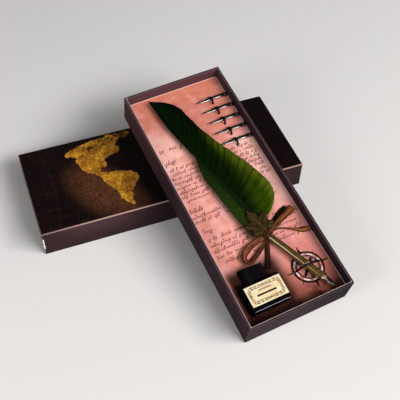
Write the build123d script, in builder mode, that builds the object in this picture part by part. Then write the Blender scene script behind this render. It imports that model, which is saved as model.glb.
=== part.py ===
from build123d import *
from math import asin, atan2, cos, degrees, pi, radians, sin
import os

# A quill pen set in a two-piece card box: the lid lies flat, and the tray leans on its front edge.
# Millimetres. Z is up, X runs along the lid, and the origin is under the middle of the whole set.

os.makedirs("parts", exist_ok=True)

# Box
tray_length = 290.0
tray_width = 115.3
tray_height = 35.2
tray_board_thick = 1.8
lid_height = 32.6
lid_board_thick = 1.5
lid_slip = 0.4  # room between the closed lid and the tray, on each side
wrap_paper = 0.2
turn_in = 19.0  # how far the wrap is folded down inside the tray
stay_leg = 14.0
stay_thick = 0.15
stay_margin = 2.0
rest_gap = 0.05

# How the tray leans on the lid
tray_turn = 6.5  # degrees, of the tray about its own bottom's normal
tray_across = 50.2  # tray centre, along the lid from the lid's centre
tray_forward = 20.1  # tray centre, down the slope from the lid's edge

# Insert
rim_depth = 13.2  # from the tray's rim down to the card
card_thick = 0.6
card_gap = 0.3
foam_gap = 0.3

# Spare nibs
spare_count = 5
spare_pitch = 15.0
spare_from_back = 28.8
spare_from_right = 1.45
spare_radius = 2.2
spare_base_length = 19.0
spare_nib_length = 19.0
spare_lift = 0.15
nib_metal = 0.35
plug_length = 5.0
plug_play = 0.05
groove_depth = 0.3
groove_width = 0.8
slit_width = 0.25
strap_width = 2.4
strap_thick = 0.5
strap_from_base_end = 20.0
strap_room = 0.4
strap_half_span = 4.6
strap_forward = 0.8
strap_anchor = 3.0
strap_slit_play = 0.2

# Compass pen rest
compass_gap_right = 1.65
compass_gap_front = 10.2
needle_half_x = 23.6
needle_half_y = 24.4
needle_half_width = 2.0
spike_length = 19.6
spike_half_width = 1.5
ring_radius = 17.0
ring_band = 1.6
inner_ring_radius = 12.6
inner_ring_band = 1.4
hub_radius = 3.2
sector_count = 8
plate_thick = 1.0
bow_thick = 0.8
bow_half_width = 1.7
bow_foot = 15.5
bow_room = 0.5

# Pen
pen_heading = -66.0  # degrees from the tray's X
pen_offset = -1.2  # where the pen crosses the compass, from its centre
barrel_length = 74.0
barrel_overhang = 17.7  # from the compass's middle to the barrel's front end
barrel_front_radius = 4.25
barrel_back_radius = 3.5
barrel_wall_gap = 0.1
holder_radius = 2.3
holder_play = 0.05
holder_depth = 14.0
ferrule_length = 3.6
ferrule_front_radius = 3.2
head_radius = 3.0
head_length = 1.8
pen_nib_radius = 2.75
pen_nib_length = 10.0
pen_plug_length = 3.6
quill_radius = 1.8
quill_depth = 12.0
quill_play = 0.05

# Feather: its length is what is left between the barrel and the back wall
feather_from_back = 7.6
shaft_above_card = 6.2
vane_thick = 0.8
shaft_start_radius = 1.7
shaft_tip_radius = 0.25
shaft_sections = 14
# from the barrel's end, in shares of the feather's length: (along, to the right)
shaft_line = [
    (0.06, -0.001), (0.155, -0.0135), (0.30, -0.0516), (0.50, -0.1063), (0.80, -0.1537), (1.0, -0.2032),
]
wide_edge = [
    (0.067, 0.0667), (0.115, 0.124), (0.153, 0.1584), (0.193, 0.175), (0.246, 0.1797), (0.31, 0.1641),
    (0.43, 0.1209), (0.57, 0.0521), (0.70, -0.0031), (0.836, -0.0432), (0.888, -0.0563), (0.95, -0.1068),
]
narrow_edge = [
    (0.04, -0.0771), (0.13, -0.0974), (0.22, -0.1125), (0.31, -0.125), (0.40, -0.1406), (0.48, -0.1365),
    (0.55, -0.125), (0.62, -0.1406), (0.77, -0.1771), (0.87, -0.1912),
]
down_low = 0.8
down_high = 5.5
down_bevel = 1.2
down_outline = [
    (-12.0, 15.5), (-16.8, 6.0), (-15.2, -3.0), (-9.5, -6.0), (-4.2, -1.5), (-3.6, 6.5), (-4.6, 15.5),
]

# Leaf charm
leaf_size = 33.0
leaf_thick = 1.0
leaf_above_shaft = 0.25
leaf_heading = 104.0
leaf_base_gap = 1.0
# half of a five-lobed leaf, stem end at 0,0 and top lobe at 1,0: (along, across), in shares of its size
leaf_half = [
    (0.06, 0.05), (-0.07, 0.30), (0.10, 0.28), (0.17, 0.40), (0.30, 0.50), (0.40, 0.40),
    (0.55, 0.53), (0.60, 0.36), (0.52, 0.20), (0.68, 0.13), (0.80, 0.22), (0.82, 0.10),
]
charm_ring_radius = 2.2
charm_ring_wire = 0.45

# Ribbon
ribbon_width = 10.0
ribbon_thick = 0.5
knot_thick = 1.4
knot_play = 0.05
knot_from_back = 1.0
knot_lump = (8.0, 7.0, 3.4)
bow_reach = 5.6  # where the loops start, from the pen's axis
front_loop_end = 44.5
front_loop_heading = 25.0
front_loop_low = 1.3
front_loop_high = 5.7
rear_loop_end = 40.5
rear_loop_heading = 37.5
rear_loop_low = 0.3
rear_loop_high = 1.1
left_loop_low = 1.6
left_loop_high = 4.0
left_loop_cap_gap = 5.15
# from the knot's middle: (to the right, share of the depth that the cap leaves)
left_loop_outer = [
    (-5.6, 0.0446), (-33.5, -0.297), (-37.2, -0.594), (-34.5, -0.9406), (-28.0, -1.0), (-7.4, -0.2079),
]
left_loop_inner = [(-13.5, -0.2277), (-30.5, -0.4653), (-31.4, -0.6238), (-28.8, -0.7327)]
front_tail_start = 6.6
front_tail_end = 36.0
front_tail_cap_gap = 3.55  # from the cap's side to the middle of the tail's end
front_tail_width = 5.0
front_tail_low = 0.5
front_tail_high = 2.1
right_tail_low = 2.3
right_tail_high = 3.1
right_tail_start = 7.4
right_tail_wall_gap = 1.1
# (share of the way from its start to the right wall, back from the knot's middle)
right_tail_outline = [
    (0.0, 2.5), (0.237, 3.4), (0.5755, -3.8), (0.7057, -6.4), (0.862, -5.6), (1.0, -8.6),
    (0.9896, -12.0), (0.849, -12.6), (0.6797, -9.2), (0.5365, -5.4), (0.237, 1.8), (0.0, 1.2),
]

# Ink bottle, lying on its back with its cap towards the tray's back
bottle_width = 42.0
bottle_depth = 26.0
bottle_height = 27.5
bottle_corner = 2.5
bottle_from_front = 12.8
bottle_sunk = 14.0  # how far the bottle's back lies below the card
bottle_wall = 2.0
bottle_base = 2.5
neck_radius = 9.5
neck_bore = 7.0
neck_length = 12.0
ink_play = 0.45
ink_level = 12.0
cap_radius = 12.8
cap_wall = 1.8
cap_top = 1.6
cap_gap = 0.3
cap_flutes = 48
flute_radius = 0.3
liner_thick = 1.2
liner_play = 0.1
liner_gap = 0.05
cap_travel = 3.6
label_width = 39.0
label_height = 21.0
label_paper = 0.15
recess_play = 1.0
recess_floor_gap = 0.3

# ---- The places of the lid and the tray ----
lid_side = lid_slip + lid_board_thick + wrap_paper
lid_length = tray_length + 2 * lid_side
lid_width = tray_width + 2 * lid_side
turn = radians(tray_turn)
slope_front = tray_forward + tray_length / 2 * cos(turn) + tray_width / 2 * sin(turn)
slope_back = slope_front - 2 * tray_forward
tilt = asin(lid_height / slope_front)
set_front = -lid_width / 2 - slope_front * cos(tilt) - tray_height * sin(tilt)
set_back = max(lid_width / 2, slope_back * cos(tilt) - lid_width / 2)
lid_y = -(set_front + set_back) / 2
lid_floor = Plane((0, lid_y, 0))

uphill = Vector(0, cos(tilt), sin(tilt))
tray_normal = Vector(0, -sin(tilt), cos(tilt))
lid_edge = Vector(tray_across, lid_y - lid_width / 2, lid_height)
tray = Plane(
    origin=lid_edge - uphill * tray_forward + tray_normal * rest_gap,
    x_dir=Vector(1, 0, 0) * cos(turn) + uphill * sin(turn),
    z_dir=tray_normal,
)

tray_wall = tray_board_thick + 2 * wrap_paper
inner_x = tray_width / 2 - tray_wall
inner_y = tray_length / 2 - tray_wall
card_top = tray_height - rim_depth


def on_tray(x, y, z, heading=0.0):
    """Plane parallel to the tray's bottom at a point of the tray, its X turned by heading."""
    along = tray.x_dir * cos(radians(heading)) + tray.y_dir * sin(radians(heading))
    return Plane(origin=tray.from_local_coords(Vector(x, y, z)), x_dir=along, z_dir=tray.z_dir)


def upright(x, y, z, heading=0.0):
    """Plane square to the tray's bottom, its X along heading and its Y away from the bottom."""
    flat = on_tray(x, y, z, heading)
    return Plane(origin=flat.origin, x_dir=flat.x_dir, z_dir=flat.x_dir.cross(flat.z_dir))


def finish(piece, name):
    """Labels a finished piece and writes its file."""
    piece.part.label = name
    export_step(piece.part, f"parts/{name}.step")


# ---- Lid ----
lid_board_x = lid_length - 2 * wrap_paper
lid_board_y = lid_width - 2 * wrap_paper
lid_board_z = lid_height - wrap_paper

with BuildPart() as lid_corner_stays:
    with BuildSketch(lid_floor.offset(stay_margin)):
        with GridLocations(lid_board_x - stay_leg, lid_board_y - stay_leg, 2, 2):
            Rectangle(stay_leg, stay_leg)
        Rectangle(lid_board_x - 2 * stay_thick, lid_board_y - 2 * stay_thick, mode=Mode.SUBTRACT)
    extrude(amount=lid_board_z - 2 * stay_margin)
finish(lid_corner_stays, "lid_corner_stays")

with BuildPart() as lid_board:
    with BuildSketch(lid_floor):
        Rectangle(lid_board_x, lid_board_y)
    extrude(amount=lid_board_z)
    with BuildSketch(lid_floor):
        Rectangle(lid_board_x - 2 * lid_board_thick, lid_board_y - 2 * lid_board_thick)
    extrude(amount=lid_board_z - lid_board_thick, mode=Mode.SUBTRACT)
    add(lid_corner_stays.part, mode=Mode.SUBTRACT)
finish(lid_board, "lid_board")

with BuildPart() as lid_wrap:
    with BuildSketch(lid_floor.offset(wrap_paper)):
        Rectangle(lid_length, lid_width)
    extrude(amount=lid_height - wrap_paper)
    with BuildSketch(lid_floor.offset(wrap_paper)):
        Rectangle(lid_board_x, lid_board_y)
    extrude(amount=lid_board_z - wrap_paper, mode=Mode.SUBTRACT)
finish(lid_wrap, "lid_wrap")

# ---- Tray ----
tray_board_x = tray_width - 2 * wrap_paper
tray_board_y = tray_length - 2 * wrap_paper
tray_board_z = tray_height - wrap_paper
board_inner_x = tray_board_x - 2 * tray_board_thick
board_inner_y = tray_board_y - 2 * tray_board_thick

with BuildPart() as tray_corner_stays:
    with BuildSketch(tray.offset(stay_margin)):
        with GridLocations(tray_board_x - stay_leg, tray_board_y - stay_leg, 2, 2):
            Rectangle(stay_leg, stay_leg)
        Rectangle(tray_board_x - 2 * stay_thick, tray_board_y - 2 * stay_thick, mode=Mode.SUBTRACT)
    extrude(amount=tray_board_z - 2 * stay_margin)
finish(tray_corner_stays, "tray_corner_stays")

with BuildPart() as tray_board:
    with BuildSketch(tray):
        Rectangle(tray_board_x, tray_board_y)
    extrude(amount=tray_board_z)
    with BuildSketch(tray.offset(tray_board_thick)):
        Rectangle(board_inner_x, board_inner_y)
    extrude(amount=tray_height, mode=Mode.SUBTRACT)
    add(tray_corner_stays.part, mode=Mode.SUBTRACT)
finish(tray_board, "tray_board")

with BuildPart() as tray_wrap:
    with BuildSketch(tray.offset(wrap_paper)):
        Rectangle(tray_width, tray_length)
        Rectangle(tray_board_x, tray_board_y, mode=Mode.SUBTRACT)
    extrude(amount=tray_height - wrap_paper)
    with BuildSketch(tray.offset(tray_height - turn_in)):
        Rectangle(board_inner_x, board_inner_y)
        Rectangle(2 * inner_x, 2 * inner_y, mode=Mode.SUBTRACT)
    extrude(amount=turn_in)
    with BuildSketch(tray.offset(tray_height - wrap_paper)):
        Rectangle(tray_width, tray_length)
        Rectangle(2 * inner_x, 2 * inner_y, mode=Mode.SUBTRACT)
    extrude(amount=wrap_paper)
finish(tray_wrap, "tray_wrap")

# ---- Places on the card ----
compass_x = inner_x - compass_gap_right - needle_half_x
compass_y = -inner_y + compass_gap_front + needle_half_y
bottle_x = (compass_x - needle_half_x - inner_x) / 2  # halfway between the left wall and the compass
bottle_y = -inner_y + bottle_from_front
bottle_low = card_top - bottle_sunk
bottle_axis = bottle_low + bottle_depth / 2
shoulder_y = bottle_y + bottle_height
cap_length = neck_length + liner_gap + liner_thick + liner_gap + cap_top - cap_gap
spare_end_x = inner_x - spare_from_right
strap_x = spare_end_x - strap_from_base_end
spare_axis = card_top + spare_lift + spare_radius
strap_inner_rise = spare_lift + 2 * spare_radius + strap_room
spare_rows = [inner_y - spare_from_back - spare_pitch * i for i in range(spare_count)]


def recess_sketch(plane):
    """Outline of the bottle and its cap, lying down, with room to turn the cap off."""
    with BuildSketch(plane) as outline:
        with Locations((bottle_x, bottle_y + bottle_height / 2)):
            Rectangle(bottle_width + 2 * recess_play, bottle_height + 2 * recess_play)
        with Locations((bottle_x, shoulder_y + (cap_length + cap_travel + recess_play) / 2)):
            Rectangle(2 * (cap_radius + recess_play), cap_length + cap_travel + recess_play)
    return outline.sketch


def slit_sketch(plane):
    """The two slits that each strap goes down through."""
    with BuildSketch(plane) as slits:
        for row in spare_rows:
            with Locations((strap_x, row - strap_forward)):
                with GridLocations(0, 2 * strap_half_span + strap_thick, 1, 2):
                    Rectangle(strap_width + 2 * strap_slit_play, strap_thick + 2 * strap_slit_play)
    return slits.sketch


card_recess = recess_sketch(tray.offset(card_top))
foam_recess = recess_sketch(tray.offset(bottle_low - recess_floor_gap))
card_slits = slit_sketch(tray.offset(card_top))
foam_slits = slit_sketch(tray.offset(card_top - card_thick))

with BuildPart() as foam_insert:
    with BuildSketch(tray.offset(tray_board_thick)):
        Rectangle(2 * (inner_x - foam_gap), 2 * (inner_y - foam_gap))
    extrude(amount=card_top - card_thick - tray_board_thick)
    extrude(foam_recess, amount=bottle_sunk + recess_floor_gap, mode=Mode.SUBTRACT)
    extrude(foam_slits, amount=-strap_anchor, mode=Mode.SUBTRACT)
finish(foam_insert, "foam_insert")

with BuildPart() as printed_card:
    with BuildSketch(tray.offset(card_top - card_thick)):
        Rectangle(2 * (inner_x - card_gap), 2 * (inner_y - card_gap))
    extrude(amount=card_thick)
    extrude(card_recess, amount=-card_thick, mode=Mode.SUBTRACT)
    extrude(card_slits, amount=-card_thick, mode=Mode.SUBTRACT)
finish(printed_card, "printed_card")

# ---- Spare nibs and their straps ----
for number, row in enumerate(spare_rows, start=1):
    with BuildPart() as nib_strap:
        with BuildSketch(upright(strap_x, row - strap_forward, card_top, 90)):
            Ellipse(strap_half_span + strap_thick, strap_inner_rise + strap_thick)
            Ellipse(strap_half_span, strap_inner_rise, mode=Mode.SUBTRACT)
            with Locations((0, -strap_inner_rise)):
                Rectangle(4 * strap_half_span, 2 * strap_inner_rise, mode=Mode.SUBTRACT)
            with Locations((0, -(strap_anchor - strap_slit_play) / 2)):
                with GridLocations(2 * strap_half_span + strap_thick, 0, 2, 1):
                    Rectangle(strap_thick, strap_anchor - strap_slit_play)
        extrude(amount=strap_width / 2, both=True)
    finish(nib_strap, f"nib_strap_{number}")

    unit = on_tray(spare_end_x, row, spare_axis, 180)
    unit_axis = Axis(unit.origin, unit.x_dir)
    plug_radius = spare_radius - groove_depth - nib_metal - plug_play
    with BuildPart() as spare_nib_base:
        with BuildSketch(unit):
            with BuildLine():
                Polyline(
                    (0, 0),
                    (0, spare_radius - groove_depth),
                    (groove_depth, spare_radius),
                    (spare_base_length - 3 * groove_width, spare_radius),
                    (spare_base_length - 3 * groove_width, spare_radius - groove_depth),
                    (spare_base_length - 2 * groove_width, spare_radius - groove_depth),
                    (spare_base_length - 2 * groove_width, spare_radius),
                    (spare_base_length, spare_radius),
                    (spare_base_length, plug_radius),
                    (spare_base_length + plug_length, plug_radius),
                    (spare_base_length + plug_length, 0),
                    close=True,
                )
            make_face()
        revolve(axis=unit_axis)
    finish(spare_nib_base, f"spare_nib_base_{number}")

    nib_start = spare_base_length + plug_play
    nib_point = spare_base_length + spare_nib_length
    nib_neck = nib_start + spare_nib_length * 0.5
    nib_radius = spare_radius - groove_depth
    with BuildPart() as spare_nib:
        with BuildSketch(unit):
            with BuildLine():
                Polyline(
                    (nib_start, nib_radius - nib_metal),
                    (nib_start, nib_radius),
                    (nib_neck, nib_radius),
                    (nib_point, nib_metal),
                    (nib_point, nib_metal / 3),
                    (nib_neck, nib_radius - nib_metal),
                    close=True,
                )
            make_face()
        revolve(axis=unit_axis)
        split(bisect_by=unit, keep=Keep.TOP)
        with BuildSketch(unit):
            with Locations(((nib_neck + nib_point) / 2, 0)):
                Rectangle(nib_point - nib_neck, slit_width)
            with Locations((nib_neck, 0)):
                Circle(nib_metal)
        extrude(amount=2 * spare_radius, mode=Mode.SUBTRACT)
    finish(spare_nib, f"spare_nib_{number}")

# ---- Ink bottle ----
bottle_plane = upright(bottle_x, bottle_y, bottle_axis, 180)
shoulder_plane = bottle_plane.offset(bottle_height)
cavity_plane = bottle_plane.offset(bottle_base)
cavity_height = bottle_height - bottle_base - bottle_wall

with BuildPart() as ink_bottle:
    with BuildSketch(bottle_plane):
        RectangleRounded(bottle_width, bottle_depth, bottle_corner)
    extrude(amount=bottle_height)
    with BuildSketch(shoulder_plane):
        Circle(neck_radius)
    extrude(amount=neck_length)
    with BuildSketch(cavity_plane):
        RectangleRounded(
            bottle_width - 2 * bottle_wall,
            bottle_depth - 2 * bottle_wall,
            bottle_corner - bottle_wall / 2,
        )
    extrude(amount=cavity_height, mode=Mode.SUBTRACT)
    with BuildSketch(shoulder_plane.offset(-bottle_wall)):
        Circle(neck_bore)
    extrude(amount=bottle_wall + neck_length, mode=Mode.SUBTRACT)
finish(ink_bottle, "ink_bottle")

with BuildPart() as ink:
    with BuildSketch(cavity_plane.offset(ink_play)):
        with Locations((0, -bottle_depth / 2 + bottle_wall + ink_play + ink_level / 2)):
            Rectangle(bottle_width - 2 * bottle_wall - 2 * ink_play, ink_level)
    extrude(amount=cavity_height - 2 * ink_play)
finish(ink, "ink")

with BuildPart() as ink_label:
    with BuildSketch(on_tray(bottle_x, bottle_y + bottle_height / 2, bottle_low + bottle_depth)):
        Rectangle(label_width, label_height)
    extrude(amount=label_paper)
finish(ink_label, "ink_label")

with BuildPart() as cap_liner:
    with BuildSketch(shoulder_plane.offset(neck_length + liner_gap)):
        Circle(cap_radius - cap_wall - liner_play)
    extrude(amount=liner_thick)
finish(cap_liner, "cap_liner")

with BuildPart() as ink_cap:
    with BuildSketch(shoulder_plane.offset(cap_gap)):
        Circle(cap_radius)
        with PolarLocations(cap_radius, cap_flutes):
            Circle(flute_radius, mode=Mode.SUBTRACT)
    extrude(amount=cap_length - cap_top)
    with BuildSketch(shoulder_plane.offset(cap_gap + cap_length - cap_top)):
        Circle(cap_radius - flute_radius)
    extrude(amount=cap_top)
    with BuildSketch(shoulder_plane.offset(cap_gap)):
        Circle(cap_radius - cap_wall)
    extrude(amount=cap_length - cap_top, mode=Mode.SUBTRACT)
finish(ink_cap, "ink_cap")

# ---- Compass pen rest ----
compass = on_tray(compass_x, compass_y, card_top + rest_gap)
sector_half = pi / 2 / sector_count
sector_low = inner_ring_radius - inner_ring_band / 2
sector_high = ring_radius - ring_band / 2


def round_hub(radius, angle):
    """Point of the compass's plate, from its middle."""
    return (radius * cos(angle), radius * sin(angle))


with BuildPart() as compass_plate:
    with BuildSketch(compass):
        Circle(ring_radius)
        Circle(ring_radius - ring_band, mode=Mode.SUBTRACT)
        for sector in range(sector_count):
            middle = (4 * sector + 1) * sector_half
            with BuildLine():
                Polyline(
                    round_hub(sector_low, middle - sector_half),
                    round_hub(sector_high, middle - sector_half),
                    round_hub(sector_high, middle),
                    round_hub(sector_high, middle + sector_half),
                    round_hub(sector_low, middle + sector_half),
                    close=True,
                )
            make_face()
    extrude(amount=plate_thick)
    with BuildSketch(compass):
        Circle(inner_ring_radius)
        Circle(inner_ring_radius - inner_ring_band, mode=Mode.SUBTRACT)
        Circle(hub_radius)
        Polygon(
            (0, needle_half_y),
            (-needle_half_width, 0),
            (0, -needle_half_y),
            (needle_half_width, 0),
            align=None,
        )
        for quarter in range(4):
            with Locations(Location((0, 0), 45 + 90 * quarter)):
                Polygon((spike_length, 0), (0, spike_half_width), (0, -spike_half_width), align=None)
    extrude(amount=plate_thick)
finish(compass_plate, "compass_plate")

pen_axis_height = card_top + rest_gap + plate_thick + barrel_wall_gap + barrel_front_radius
bow_low = plate_thick + bow_thick / 2
bow_high = pen_axis_height - card_top + barrel_front_radius + bow_room - rest_gap
with BuildPart() as compass_bow:
    with BuildSketch(upright(compass_x, compass_y, card_top + rest_gap)):
        with BuildLine() as bow_line:
            Line((-needle_half_x, bow_low), (-bow_foot, bow_low))
            ThreePointArc((-bow_foot, bow_low), (pen_offset, bow_high), (bow_foot, bow_low))
            Line((bow_foot, bow_low), (needle_half_x, bow_low))
        trace(line_width=bow_thick)
    extrude(amount=bow_half_width, both=True)
    with BuildSketch(compass):
        Polygon(
            (-needle_half_x, 0),
            (pen_offset, -bow_half_width),
            (needle_half_x, 0),
            (pen_offset, bow_half_width),
            align=None,
        )
    extrude(amount=2 * bow_high, mode=Mode.INTERSECT)
    with BuildSketch(compass):
        Circle(2 * ring_radius)
    extrude(amount=plate_thick, mode=Mode.SUBTRACT)
finish(compass_bow, "compass_bow")

# ---- Pen: its plane has X towards the nib and the barrel's front end at its origin ----
pen_dir_x = cos(radians(pen_heading))
pen_dir_y = sin(radians(pen_heading))
barrel_front = (
    compass_x + pen_offset + barrel_overhang * pen_dir_x,
    compass_y + barrel_overhang * pen_dir_y,
)
barrel_end = (
    barrel_front[0] - barrel_length * pen_dir_x,
    barrel_front[1] - barrel_length * pen_dir_y,
)
pen = on_tray(barrel_front[0], barrel_front[1], pen_axis_height, pen_heading)
pen_axis = Axis(pen.origin, pen.x_dir)
taper = (barrel_front_radius - barrel_back_radius) / barrel_length


def barrel_radius(x):
    """Barrel's radius at a place on the pen's X, where 0 is its front end."""
    return barrel_front_radius + taper * x


with BuildPart() as pen_barrel:
    with BuildSketch(pen):
        with BuildLine():
            Polyline(
                (-barrel_length, quill_radius + quill_play),
                (-barrel_length, barrel_back_radius),
                (-groove_width, barrel_radius(-groove_width)),
                (0, barrel_front_radius - groove_depth),
                (0, holder_radius + holder_play),
                (-holder_depth - holder_play, holder_radius + holder_play),
                (-holder_depth - holder_play, 0),
                (-barrel_length + quill_depth + quill_play, 0),
                (-barrel_length + quill_depth + quill_play, quill_radius + quill_play),
                close=True,
            )
        make_face()
    revolve(axis=pen_axis)
finish(pen_barrel, "pen_barrel")

with BuildPart() as pen_ferrule:
    with BuildSketch(pen):
        with BuildLine():
            Polyline(
                (0, holder_radius + holder_play),
                (0, barrel_front_radius - groove_depth),
                (ferrule_length / 2, barrel_front_radius - groove_depth),
                (ferrule_length, ferrule_front_radius),
                (ferrule_length, holder_radius + holder_play),
                close=True,
            )
        make_face()
    revolve(axis=pen_axis)
finish(pen_ferrule, "pen_ferrule")

pen_plug_radius = pen_nib_radius - nib_metal - plug_play
head_start = ferrule_length + holder_play
head_end = head_start + head_length
with BuildPart() as nib_holder:
    with BuildSketch(pen):
        with BuildLine():
            Polyline(
                (-holder_depth, 0),
                (-holder_depth, holder_radius),
                (head_start, holder_radius),
                (head_start, head_radius),
                (head_end, head_radius),
                (head_end, pen_plug_radius),
                (head_end + pen_plug_length, pen_plug_radius),
                (head_end + pen_plug_length, 0),
                close=True,
            )
        make_face()
    revolve(axis=pen_axis)
finish(nib_holder, "nib_holder")

pen_nib_start = head_end + plug_play
pen_nib_neck = pen_nib_start + pen_nib_length * 0.45
pen_nib_point = pen_nib_start + pen_nib_length
with BuildPart() as pen_nib:
    with BuildSketch(pen):
        with BuildLine():
            Polyline(
                (pen_nib_start, pen_nib_radius - nib_metal),
                (pen_nib_start, pen_nib_radius),
                (pen_nib_neck, pen_nib_radius),
                (pen_nib_point, nib_metal),
                (pen_nib_point, nib_metal / 3),
                (pen_nib_neck, pen_nib_radius - nib_metal),
                close=True,
            )
        make_face()
    revolve(axis=pen_axis)
    split(bisect_by=pen, keep=Keep.TOP)
    with BuildSketch(pen):
        with Locations(((pen_nib_neck + pen_nib_point) / 2, 0)):
            Rectangle(pen_nib_point - pen_nib_neck, slit_width)
        with Locations((pen_nib_neck, 0)):
            Circle(2 * nib_metal)
    extrude(amount=2 * pen_nib_radius, mode=Mode.SUBTRACT)
finish(pen_nib, "pen_nib")

# ---- Feather ----
feather_length = inner_y - feather_from_back - barrel_end[1]
shaft_height = card_top + shaft_above_card


def on_feather(along, right):
    """Place on the card, from the barrel's end, in shares of the feather's length."""
    return (barrel_end[0] + right * feather_length, barrel_end[1] + along * feather_length)


shaft_points = [on_feather(*place) for place in shaft_line]
barrel_back = pen.from_local_coords(Vector(-barrel_length, 0, 0))
with BuildLine() as shaft_middle:
    Spline(*shaft_points)


def shaft_place(section):
    """Where one section of the shaft is on the card, which way it points, and its radius there."""
    way = section / shaft_sections
    radius = shaft_start_radius + (shaft_tip_radius - shaft_start_radius) * way
    return shaft_middle.line @ way, shaft_middle.line % way, radius


with BuildPart() as quill_shaft:
    with BuildSketch(Plane(barrel_back, x_dir=pen.y_dir, z_dir=pen.x_dir)):
        Circle(quill_radius)
    extrude(amount=quill_depth)
    with BuildSketch(Plane(barrel_back, x_dir=-pen.y_dir, z_dir=-pen.x_dir)):
        Circle(quill_radius)
    for section in range(shaft_sections + 1):
        place, ahead, radius = shaft_place(section)
        flat = on_tray(place.X, place.Y, shaft_height, degrees(atan2(ahead.Y, ahead.X)))
        with BuildSketch(Plane(flat.origin, x_dir=flat.y_dir, z_dir=flat.x_dir)):
            Circle(radius)
    loft()
finish(quill_shaft, "quill_shaft")


def vane(edge, side):
    """One side of the feather: a flat sheet from beside the shaft to its own edge."""
    outer = [on_feather(*place) for place in edge]
    inner = []
    for section in range(shaft_sections + 1):
        place, ahead, radius = shaft_place(section)
        beside = side * (radius + quill_play)
        inner.append((place.X - ahead.Y * beside, place.Y + ahead.X * beside))
    with BuildPart() as sheet:
        with BuildSketch(tray.offset(shaft_height - vane_thick / 2)):
            with BuildLine():
                Spline(*inner)
                Spline(*outer, inner[-1])
                Line(inner[0], outer[0])
            make_face()
        extrude(amount=vane_thick)
    return sheet


feather_wide_vane = vane(wide_edge, -1)
finish(feather_wide_vane, "feather_wide_vane")
feather_narrow_vane = vane(narrow_edge, 1)
finish(feather_narrow_vane, "feather_narrow_vane")

with BuildPart() as feather_down:
    with BuildSketch(on_tray(barrel_end[0], barrel_end[1], card_top + down_low)):
        with BuildLine():
            Polyline(*down_outline, close=True)
        make_face()
    extrude(amount=down_high - down_low)
    chamfer(feather_down.edges().group_by(Axis(tray.origin, tray.z_dir))[-1], length=down_bevel)
finish(feather_down, "feather_down")

# ---- Ribbon ----
knot_middle = -barrel_length + knot_from_back + ribbon_width / 2
knot_at = (barrel_front[0] + knot_middle * pen_dir_x, barrel_front[1] + knot_middle * pen_dir_y)
knot_low_end = knot_middle - ribbon_width / 2
knot_high_end = knot_middle + ribbon_width / 2
knot_plane = on_tray(knot_at[0], knot_at[1], pen_axis_height, pen_heading)
with BuildPart() as ribbon_knot:
    with BuildSketch(pen):
        with BuildLine():
            Line(
                (knot_low_end, barrel_radius(knot_low_end) + knot_play),
                (knot_high_end, barrel_radius(knot_high_end) + knot_play),
            )
            ThreePointArc(
                (knot_high_end, barrel_radius(knot_high_end) + knot_play),
                (knot_middle, barrel_radius(knot_middle) + knot_thick),
                (knot_low_end, barrel_radius(knot_low_end) + knot_play),
            )
        make_face()
    revolve(axis=pen_axis)
    with BuildSketch(knot_plane.offset(barrel_radius(knot_middle) + knot_thick / 2)):
        RectangleRounded(knot_lump[0], knot_lump[1], knot_lump[1] / 3)
    extrude(amount=knot_lump[2])
finish(ribbon_knot, "ribbon_knot")


def flat_loop(heading, end, low, high):
    """A loop pressed flat: the ribbon goes out, folds over and comes back."""
    with BuildPart() as loop:
        with BuildSketch(upright(knot_at[0], knot_at[1], card_top + (low + high) / 2, heading)):
            with Locations(((bow_reach + end) / 2, 0)):
                SlotOverall(end - bow_reach, high - low)
                SlotOverall(
                    end - bow_reach - 2 * ribbon_thick,
                    high - low - 2 * ribbon_thick,
                    mode=Mode.SUBTRACT,
                )
        extrude(amount=ribbon_width / 2, both=True)
    return loop


ribbon_loop_right = flat_loop(front_loop_heading, front_loop_end, front_loop_low, front_loop_high)
finish(ribbon_loop_right, "ribbon_loop_right")

with BuildPart() as ribbon_loop_rear:
    with BuildSketch(on_tray(knot_at[0], knot_at[1], card_top + rear_loop_low, rear_loop_heading)):
        with Locations(((bow_reach + rear_loop_end) / 2, 0)):
            Rectangle(rear_loop_end - bow_reach, ribbon_width)
    extrude(amount=rear_loop_high - rear_loop_low)
finish(ribbon_loop_rear, "ribbon_loop_rear")

left_loop_depth = knot_at[1] - shoulder_y - cap_gap - cap_length - left_loop_cap_gap
with BuildPart() as ribbon_loop_left:
    with BuildSketch(on_tray(knot_at[0], knot_at[1], card_top + left_loop_low)):
        with BuildLine():
            Polyline(*[(right, share * left_loop_depth) for right, share in left_loop_outer], close=True)
        make_face()
        with BuildLine():
            Polyline(*[(right, share * left_loop_depth) for right, share in left_loop_inner], close=True)
        make_face(mode=Mode.SUBTRACT)
    extrude(amount=left_loop_high - left_loop_low)
finish(ribbon_loop_left, "ribbon_loop_left")

front_tail_end_x = bottle_x + cap_radius + front_tail_cap_gap
front_tail_heading = -90 - degrees(asin((knot_at[0] - front_tail_end_x) / front_tail_end))
with BuildPart() as ribbon_tail_front:
    with BuildSketch(on_tray(knot_at[0], knot_at[1], card_top + front_tail_low, front_tail_heading)):
        with Locations(((front_tail_start + front_tail_end) / 2, 0)):
            Rectangle(front_tail_end - front_tail_start, front_tail_width)
    extrude(amount=front_tail_high - front_tail_low)
finish(ribbon_tail_front, "ribbon_tail_front")

right_tail_reach = inner_x - right_tail_wall_gap - knot_at[0] - right_tail_start
with BuildPart() as ribbon_tail_right:
    with BuildSketch(on_tray(knot_at[0], knot_at[1], card_top + right_tail_low)):
        with BuildLine():
            Polyline(
                *[(right_tail_start + share * right_tail_reach, back) for share, back in right_tail_outline],
                close=True,
            )
        make_face()
    extrude(amount=right_tail_high - right_tail_low)
finish(ribbon_tail_right, "ribbon_tail_right")

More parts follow.
